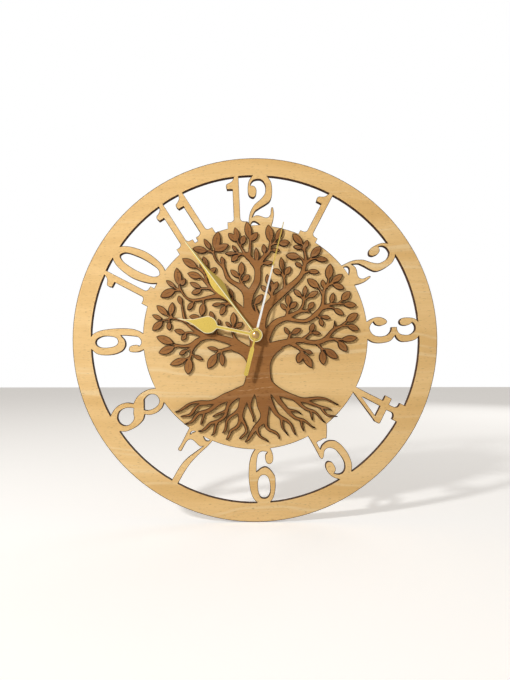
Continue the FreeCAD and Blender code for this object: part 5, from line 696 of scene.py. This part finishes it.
def copied_node(node: str, name: str) -> bpy.types.Object:
    """Copy a CAD node's mesh into a new piece with its points merged.

    Args:
        node: the node's name.
        name: the new piece's name.

    Returns:
        The piece.
    """
    piece = bpy.data.objects.new(name, frame["nodes"][node].data.copy())
    bpy.context.scene.collection.objects.link(piece)
    piece.data.materials.clear()
    edit(piece)
    bpy.ops.mesh.select_all(action="SELECT")
    bpy.ops.mesh.remove_doubles(threshold=MERGE_REACH)
    leave()
    if piece.data.has_custom_normals:
        bpy.ops.mesh.customdata_custom_splitnormals_clear()
    return piece


def smooth(piece: bpy.types.Object, degrees: float = 32.0) -> None:
    """Shade a piece smooth over the edges that turn by less than an angle."""
    select_only(piece)
    bpy.ops.object.shade_smooth_by_angle(angle=math.radians(degrees))


def settle(piece: bpy.types.Object, body: str, finishes: list[Finish],
           nodes: tuple[str, ...] = ()) -> None:
    """Give a piece its finishes and its body, and hide the CAD nodes that it stands for.

    Args:
        piece: the object.
        body: the body that it rides on.
        finishes: its finishes, in the order of its material slots.
        nodes: the CAD nodes that it stands for.
    """
    for finish in finishes:
        piece.data.materials.append(material_of(finish))
    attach(piece, body)
    if nodes:
        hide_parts(*nodes)
    log.info("%s: %d faces on %s", piece.name, len(piece.data.polygons), body)


@dataclass
class Movement:
    """The quartz movement behind the dial, and the dome on the hands' hub.

    Their CAD nodes stay as they are and only get their finishes.
    """

    finishes: dict[str, Finish]

    def build(self) -> None:
        """Give each of these CAD nodes the finish of its material slot."""
        for part in frame["record"]["subparts"]:
            slot = part["material_slot"]
            if slot not in self.finishes:
                continue
            material = material_of(self.finishes[slot])
            mesh = frame["nodes"][part["node"]].data
            for place in range(len(mesh.materials)):
                mesh.materials[place] = material
            if not mesh.materials:
                mesh.materials.append(material)
            log.info("%s: %s", part["node"], slot)


@dataclass
class CutSheets:
    """The two laser-cut sheets: the dial and the tree on it."""

    dial_rim: float = 0.55 * MM
    tree_rim: float = 0.70 * MM
    flat_limit: float = 0.99
    tree_front: float = -23 * MM
    vein_width: float = 0.36 * MM
    growth_width: float = 0.45 * MM
    vein_proud: float = 0.02 * MM
    vein_start_share: float = 0.10
    vein_end_share: float = 0.84

    def build(self) -> None:
        """Dress both sheets and draw the lines on the tree."""
        self.sheet("dial_plate", "dial_sheet", PALE_PLYWOOD, self.dial_rim)
        self.sheet("tree_overlay", "tree_sheet", BROWN_PLYWOOD, self.tree_rim)
        self.veins()
        self.growth()

    def sheet(self, node: str, name: str, finish: PlywoodFinish, rim: float) -> None:
        """Dress one sheet.

        Args:
            node: the CAD node.
            name: the piece's name.
            finish: its finish.
            rim: how far the burn reaches in from a cut.
        """
        piece = copied_node(node, name)
        self.scorch(piece, rim)
        smooth(piece)
        settle(piece, BODY, [finish], (node,))

    def scorch(self, piece: bpy.types.Object, rim: float) -> None:
        """Cut a band along the outlines, and mark each point by its nearness to the cut.

        Args:
            piece: the object.
            rim: the band's width.
        """
        unmark(piece)
        for face in piece.data.polygons:
            face.select = abs(face.normal.y) > self.flat_limit
        reopen()
        bpy.ops.mesh.inset(thickness=rim, depth=0.0, use_even_offset=False,
                           use_relative_offset=False)
        leave()
        near = [1.0] * len(piece.data.vertices)
        for face in piece.data.polygons:
            if face.select:
                for place in face.vertices:
                    near[place] = 0.0
        mark = piece.data.attributes.new("scorch", "FLOAT", "POINT")
        mark.data.foreach_set("value", near)

    def veins(self) -> None:
        """Lay a thin burnt line along the middle of each leaf."""
        spans = []
        for leaf in LEAVES:
            start, tip = Vector(leaf[0:2]) * MM, Vector(leaf[2:4]) * MM
            spans.append((start.lerp(tip, self.vein_start_share),
                          start.lerp(tip, self.vein_end_share)))
        self.lines("leaf_midribs", spans, self.vein_width, BURNT_LINE)

    def growth(self) -> None:
        """Lay the two pale growth lines across the trunk."""
        spans = [(Vector(first) * MM, Vector(last) * MM)
                 for line in GROWTH_LINES for first, last in zip(line, line[1:])]
        self.lines("growth_lines", spans, self.growth_width, GROWTH_LINE)

    def lines(self, name: str, spans: list[tuple[Vector, Vector]], width: float,
              finish: PlainFinish) -> None:
        """Lay thin lines on the tree's front.

        Args:
            name: the piece's name.
            spans: the two ends of each line.
            width: the lines' width.
            finish: the lines' finish.
        """
        # A flat four-pointed blade, one long and one wide, is stretched to make each line.
        bpy.ops.object.select_all(action="DESELECT")
        bpy.ops.mesh.primitive_circle_add(vertices=4, radius=1.0, fill_type="NGON")
        base = bpy.context.active_object
        base.name = name
        edit(base)
        bpy.ops.mesh.select_all(action="SELECT")
        bpy.ops.transform.resize(value=(0.5, 0.5, 0.0))
        leave()
        copies = []
        for first, last in spans:
            along = last - first
            middle = (first + last) / 2
            across = Vector((-along.y, along.x)) * (width / along.length)
            line = base.copy()
            line.data = base.data.copy()
            line.data.transform(Matrix((
                (along.x, across.x, 0.0, middle.x),
                (0.0, 0.0, -1.0, self.tree_front - self.vein_proud),
                (along.y, across.y, 0.0, middle.y),
                (0.0, 0.0, 0.0, 1.0))))
            bpy.context.scene.collection.objects.link(line)
            copies.append(line)
        bpy.data.objects.remove(base)
        bpy.ops.object.select_all(action="DESELECT")
        for line in copies:
            line.select_set(True)
        bpy.context.view_layer.objects.active = copies[0]
        bpy.ops.object.join()
        piece = bpy.context.active_object
        piece.name = name
        edit(piece)
        bpy.ops.mesh.select_all(action="SELECT")
        bpy.ops.mesh.normals_make_consistent(inside=False)
        leave()
        if piece.data.polygons[0].normal.y > 0:
            piece.data.flip_normals()
        settle(piece, BODY, [finish])


@dataclass
class Hands:
    """The three gold hands, two of them with a painted highlight: paler gold along an edge, in a
    material slot of its own.
    """

    painted_highlight_slot: int = 1
    painted_highlight_width: float = 0.42 * MM
    ridge_width: float = 0.38 * MM
    front_reach: float = 0.05 * MM
    ridge_side: float = 0.45 * MM
    ridge_start: float = 4.2 * MM
    flat_limit: float = 0.99
    facing_limit: float = 0.3
    smooth_degrees: float = 8.0

    def build(self) -> None:
        """Dress the three hands."""
        self.dress("hour_hand", "hour_arbor", GOLD, self.rim)
        self.dress("minute_hand", "minute_arbor", GOLD, self.fold)
        # The second hand's front carries a painted reflection.
        self.dress("second_hand", "second_arbor", GOLD_WITH_PAINTED_REFLECTION)

    def dress(self, hand: str, body: str, front: Finish,
              trim: Callable[[bpy.types.Object], None] | None = None) -> None:
        """Dress one hand.

        Args:
            hand: the hand's CAD node.
            body: the arbor that it rides on.
            front: the finish of its front.
            trim: what marks the edge that gets the painted highlight, if it has one.
        """
        piece = copied_node(hand, hand + "_gold")
        piece.data.materials.append(None)
        piece.data.materials.append(None)
        if trim:
            trim(piece)
        # Clearing the empty slots sets every face back to the first, so the marks are kept.
        marks = [face.material_index for face in piece.data.polygons]
        piece.data.materials.clear()
        smooth(piece, self.smooth_degrees)
        # The second finish paints a highlight on the marked edges.
        settle(piece, body, [front, GOLD_PAINTED_HIGHLIGHT], (hand,))
        piece.data.polygons.foreach_set("material_index", marks)

    def rim(self, piece: bpy.types.Object) -> None:
        """Set off a band round the hour hand's front, painted paler gold as a highlight.

        Args:
            piece: the hour hand.
        """
        unmark(piece)
        front = min(point.co.y for point in piece.data.vertices)
        for face in piece.data.polygons:
            face.select = (face.normal.y < -self.flat_limit
                           and face.center.y < front + self.front_reach)
        reopen()
        bpy.ops.mesh.inset(thickness=self.painted_highlight_width, depth=0.0, use_even_offset=False,
                           use_relative_offset=False, use_select_inset=True)
        leave()
        for face in piece.data.polygons:
            if face.select:
                face.material_index = self.painted_highlight_slot

    def fold(self, piece: bpy.types.Object) -> None:
        """Round the minute hand's fold, and paint the rounded ridge paler gold as a highlight.

        Args:
            piece: the minute hand.
        """
        unmark(piece, "EDGE")
        points = piece.data.vertices
        tip = max((point.co for point in points), key=lambda place: math.hypot(place.x, place.z))
        across = Vector((-tip.z, 0.0, tip.x)).normalized()
        for line in piece.data.edges:
            ends = [points[place].co for place in line.vertices]
            line.select = (all(abs(across.dot(end)) < self.ridge_side for end in ends)
                           and all(math.hypot(end.x, end.z) > self.ridge_start for end in ends))
        faced = {tuple(sorted(pair)) for face in piece.data.polygons
                 if face.normal.y < -self.facing_limit for pair in face.edge_keys}
        for line in piece.data.edges:
            line.select = line.select and tuple(sorted(line.vertices)) in faced
        log.info("%s: %d edges of its fold", piece.name,
                 sum(line.select for line in piece.data.edges))
        reopen()
        # The rounded ridge gets the paler gold of the painted highlight.
        bpy.ops.mesh.bevel(offset=self.ridge_width, segments=2, affect="EDGES",
                           material=self.painted_highlight_slot)
        leave()


@dataclass
class Studio:
    """The floor, the lamps, the world and the camera.

    The camera's pitch, yaw and shift take a place on the dial's front to the camera's own axes.
    """

    floor_height: float = -150.3 * MM
    floor_size: float = 8.0
    floor_roughness: float = 0.9
    floor_specular: float = 0.1
    floor_colour: Triple = (0.82, 0.81, 0.79)
    floor_glow: float = 0.38
    world_strength: float = 0.27
    world_warmth: Triple = (1.0, 0.88, 0.74)
    flag_side: Triple = (0.8, 0.0, 0.6)
    flag_edges: tuple[float, float] = (0.10, 0.34)
    flag_depth: float = 0.72
    key_power: float = 13.0
    key_place: Triple = (-0.78, -0.92, 0.66)
    key_size: float = 0.12
    back_power: float = 5.0
    back_place: Triple = (0.9, 1.1, 0.7)
    back_size: float = 0.9
    fill_power: float = 2.0
    fill_place: Triple = (-1.0, -1.1, 0.05)
    fill_size: float = 0.9
    lens: float = 26.47
    sensor: float = 36.0
    pitch: float = math.radians(-3.858)
    yaw: float = math.radians(0.5465)
    shift: Triple = (0.502 * MM, 3.622 * MM, -411.5 * MM)
    dial_front: float = -21 * MM

    def build(self) -> None:
        """Set up everything round the clock."""
        self.floor()
        self.lamp("key", self.key_place, self.key_size, self.key_power)
        self.lamp("fill", self.fill_place, self.fill_size, self.fill_power)
        self.lamp("back", self.back_place, self.back_size, self.back_power)
        self.world()
        self.camera()
        bpy.context.scene.view_settings.view_transform = "Standard"

    def floor(self) -> None:
        """Lay the pale floor."""
        bpy.ops.object.select_all(action="DESELECT")
        bpy.ops.mesh.primitive_plane_add(size=self.floor_size,
                                         location=(0.0, 0.0, self.floor_height))
        floor = bpy.context.active_object
        floor.name = "floor"
        material, recipe, shader, _ = start_material("floor_paint")
        shader.inputs["Base Color"].default_value = (*self.floor_colour, 1.0)
        shader.inputs["Roughness"].default_value = self.floor_roughness
        shader.inputs["Specular IOR Level"].default_value = self.floor_specular
        shader.inputs["Emission Color"].default_value = (1.0, 1.0, 1.0, 1.0)
        seen = recipe.add("ShaderNodeLightPath").outputs["Is Camera Ray"]
        recipe.join(recipe.math("MULTIPLY", seen, self.floor_glow),
                    shader.inputs["Emission Strength"])
        floor.data.materials.append(material)

    def lamp(self, name: str, place: Triple, size: float, power: float) -> None:
        """Hang one soft lamp that looks at the clock.

        Args:
            name: the lamp's name.
            place: where it hangs.
            size: its side.
            power: its power in watts.
        """
        light = bpy.data.lights.new(name, "AREA")
        light.energy = power
        light.size = size
        lamp = bpy.data.objects.new(name, light)
        lamp.location = place
        lamp.rotation_euler = Vector(place).to_track_quat("Z", "Y").to_euler()
        bpy.context.scene.collection.objects.link(lamp)

    def world(self) -> None:
        """Light from all round at a plain level, and show white behind the clock."""
        world = bpy.data.worlds.new("studio")
        bpy.context.scene.world = world
        world.use_nodes = True
        recipe = Recipe(world.node_tree)
        recipe.tree.nodes.clear()
        path = recipe.add("ShaderNodeLightPath")
        seen = recipe.math("MAXIMUM", path.outputs["Is Camera Ray"], path.outputs["Is Glossy Ray"])
        seen = recipe.math("MAXIMUM", seen, path.outputs["Is Transmission Ray"])
        seen = recipe.math("MULTIPLY", seen, self.flagged(recipe, path))
        span = recipe.math("MULTIPLY", seen, 1.0 - self.world_strength)
        background = recipe.add("ShaderNodeBackground")
        recipe.join(recipe.blend(path.outputs["Is Diffuse Ray"], (1.0, 1.0, 1.0), self.world_warmth),
                    background.inputs["Color"])
        recipe.join(recipe.math("ADD", span, self.world_strength), background.inputs["Strength"])
        output = recipe.add("ShaderNodeOutputWorld")
        recipe.join(background.outputs["Background"], output.inputs["Surface"])

    def flagged(self, recipe: Recipe, path: bpy.types.Node) -> Socket:
        """Darken what the metal reflects from the upper right, as a dark flag there would.

        Args:
            recipe: the world's recipe.
            path: its light path node.

        Returns:
            The share of white that is left.
        """
        towards = recipe.add("ShaderNodeTexCoord")
        turned = recipe.add("ShaderNodeVectorMath", operation="DOT_PRODUCT")
        recipe.join(towards.outputs["Generated"], turned.inputs[0])
        turned.inputs[1].default_value = self.flag_side
        dark = recipe.ramp(turned.outputs["Value"], *self.flag_edges)
        dark = recipe.math("MULTIPLY", dark, path.outputs["Is Glossy Ray"])
        return recipe.math("SUBTRACT", 1.0, recipe.math("MULTIPLY", dark, self.flag_depth))

    def camera(self) -> None:
        """Place the camera as it was placed for the photograph."""
        turn = Matrix.Rotation(self.yaw, 3, "Y") @ Matrix.Rotation(self.pitch, 3, "X")
        place = -(turn.transposed() @ Vector(self.shift))
        stand = Matrix(((1, 0, 0), (0, 0, -1), (0, 1, 0)))
        axes = stand @ turn.transposed()
        location = stand @ place + Vector((0.0, self.dial_front, 0.0))
        data = bpy.data.cameras.new("camera")
        data.lens = self.lens
        data.sensor_width = self.sensor
        data.sensor_fit = "AUTO"
        camera = bpy.data.objects.new("camera", data)
        camera.matrix_world = Matrix.Translation(location) @ axes.to_4x4()
        bpy.context.scene.collection.objects.link(camera)
        bpy.context.scene.camera = camera


def main() -> None:
    """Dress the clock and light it."""
    # Some finishes have the names of the frame's own materials, so those step aside.
    for material in list(bpy.data.materials):
        material.name = "cad_" + material.name
    for assembly in (Movement(SLOT_FINISHES), CutSheets(), Hands(), Studio()):
        assembly.build()
        log.info("built %s", type(assembly).__name__)


if __name__ == "__main__":
    main()
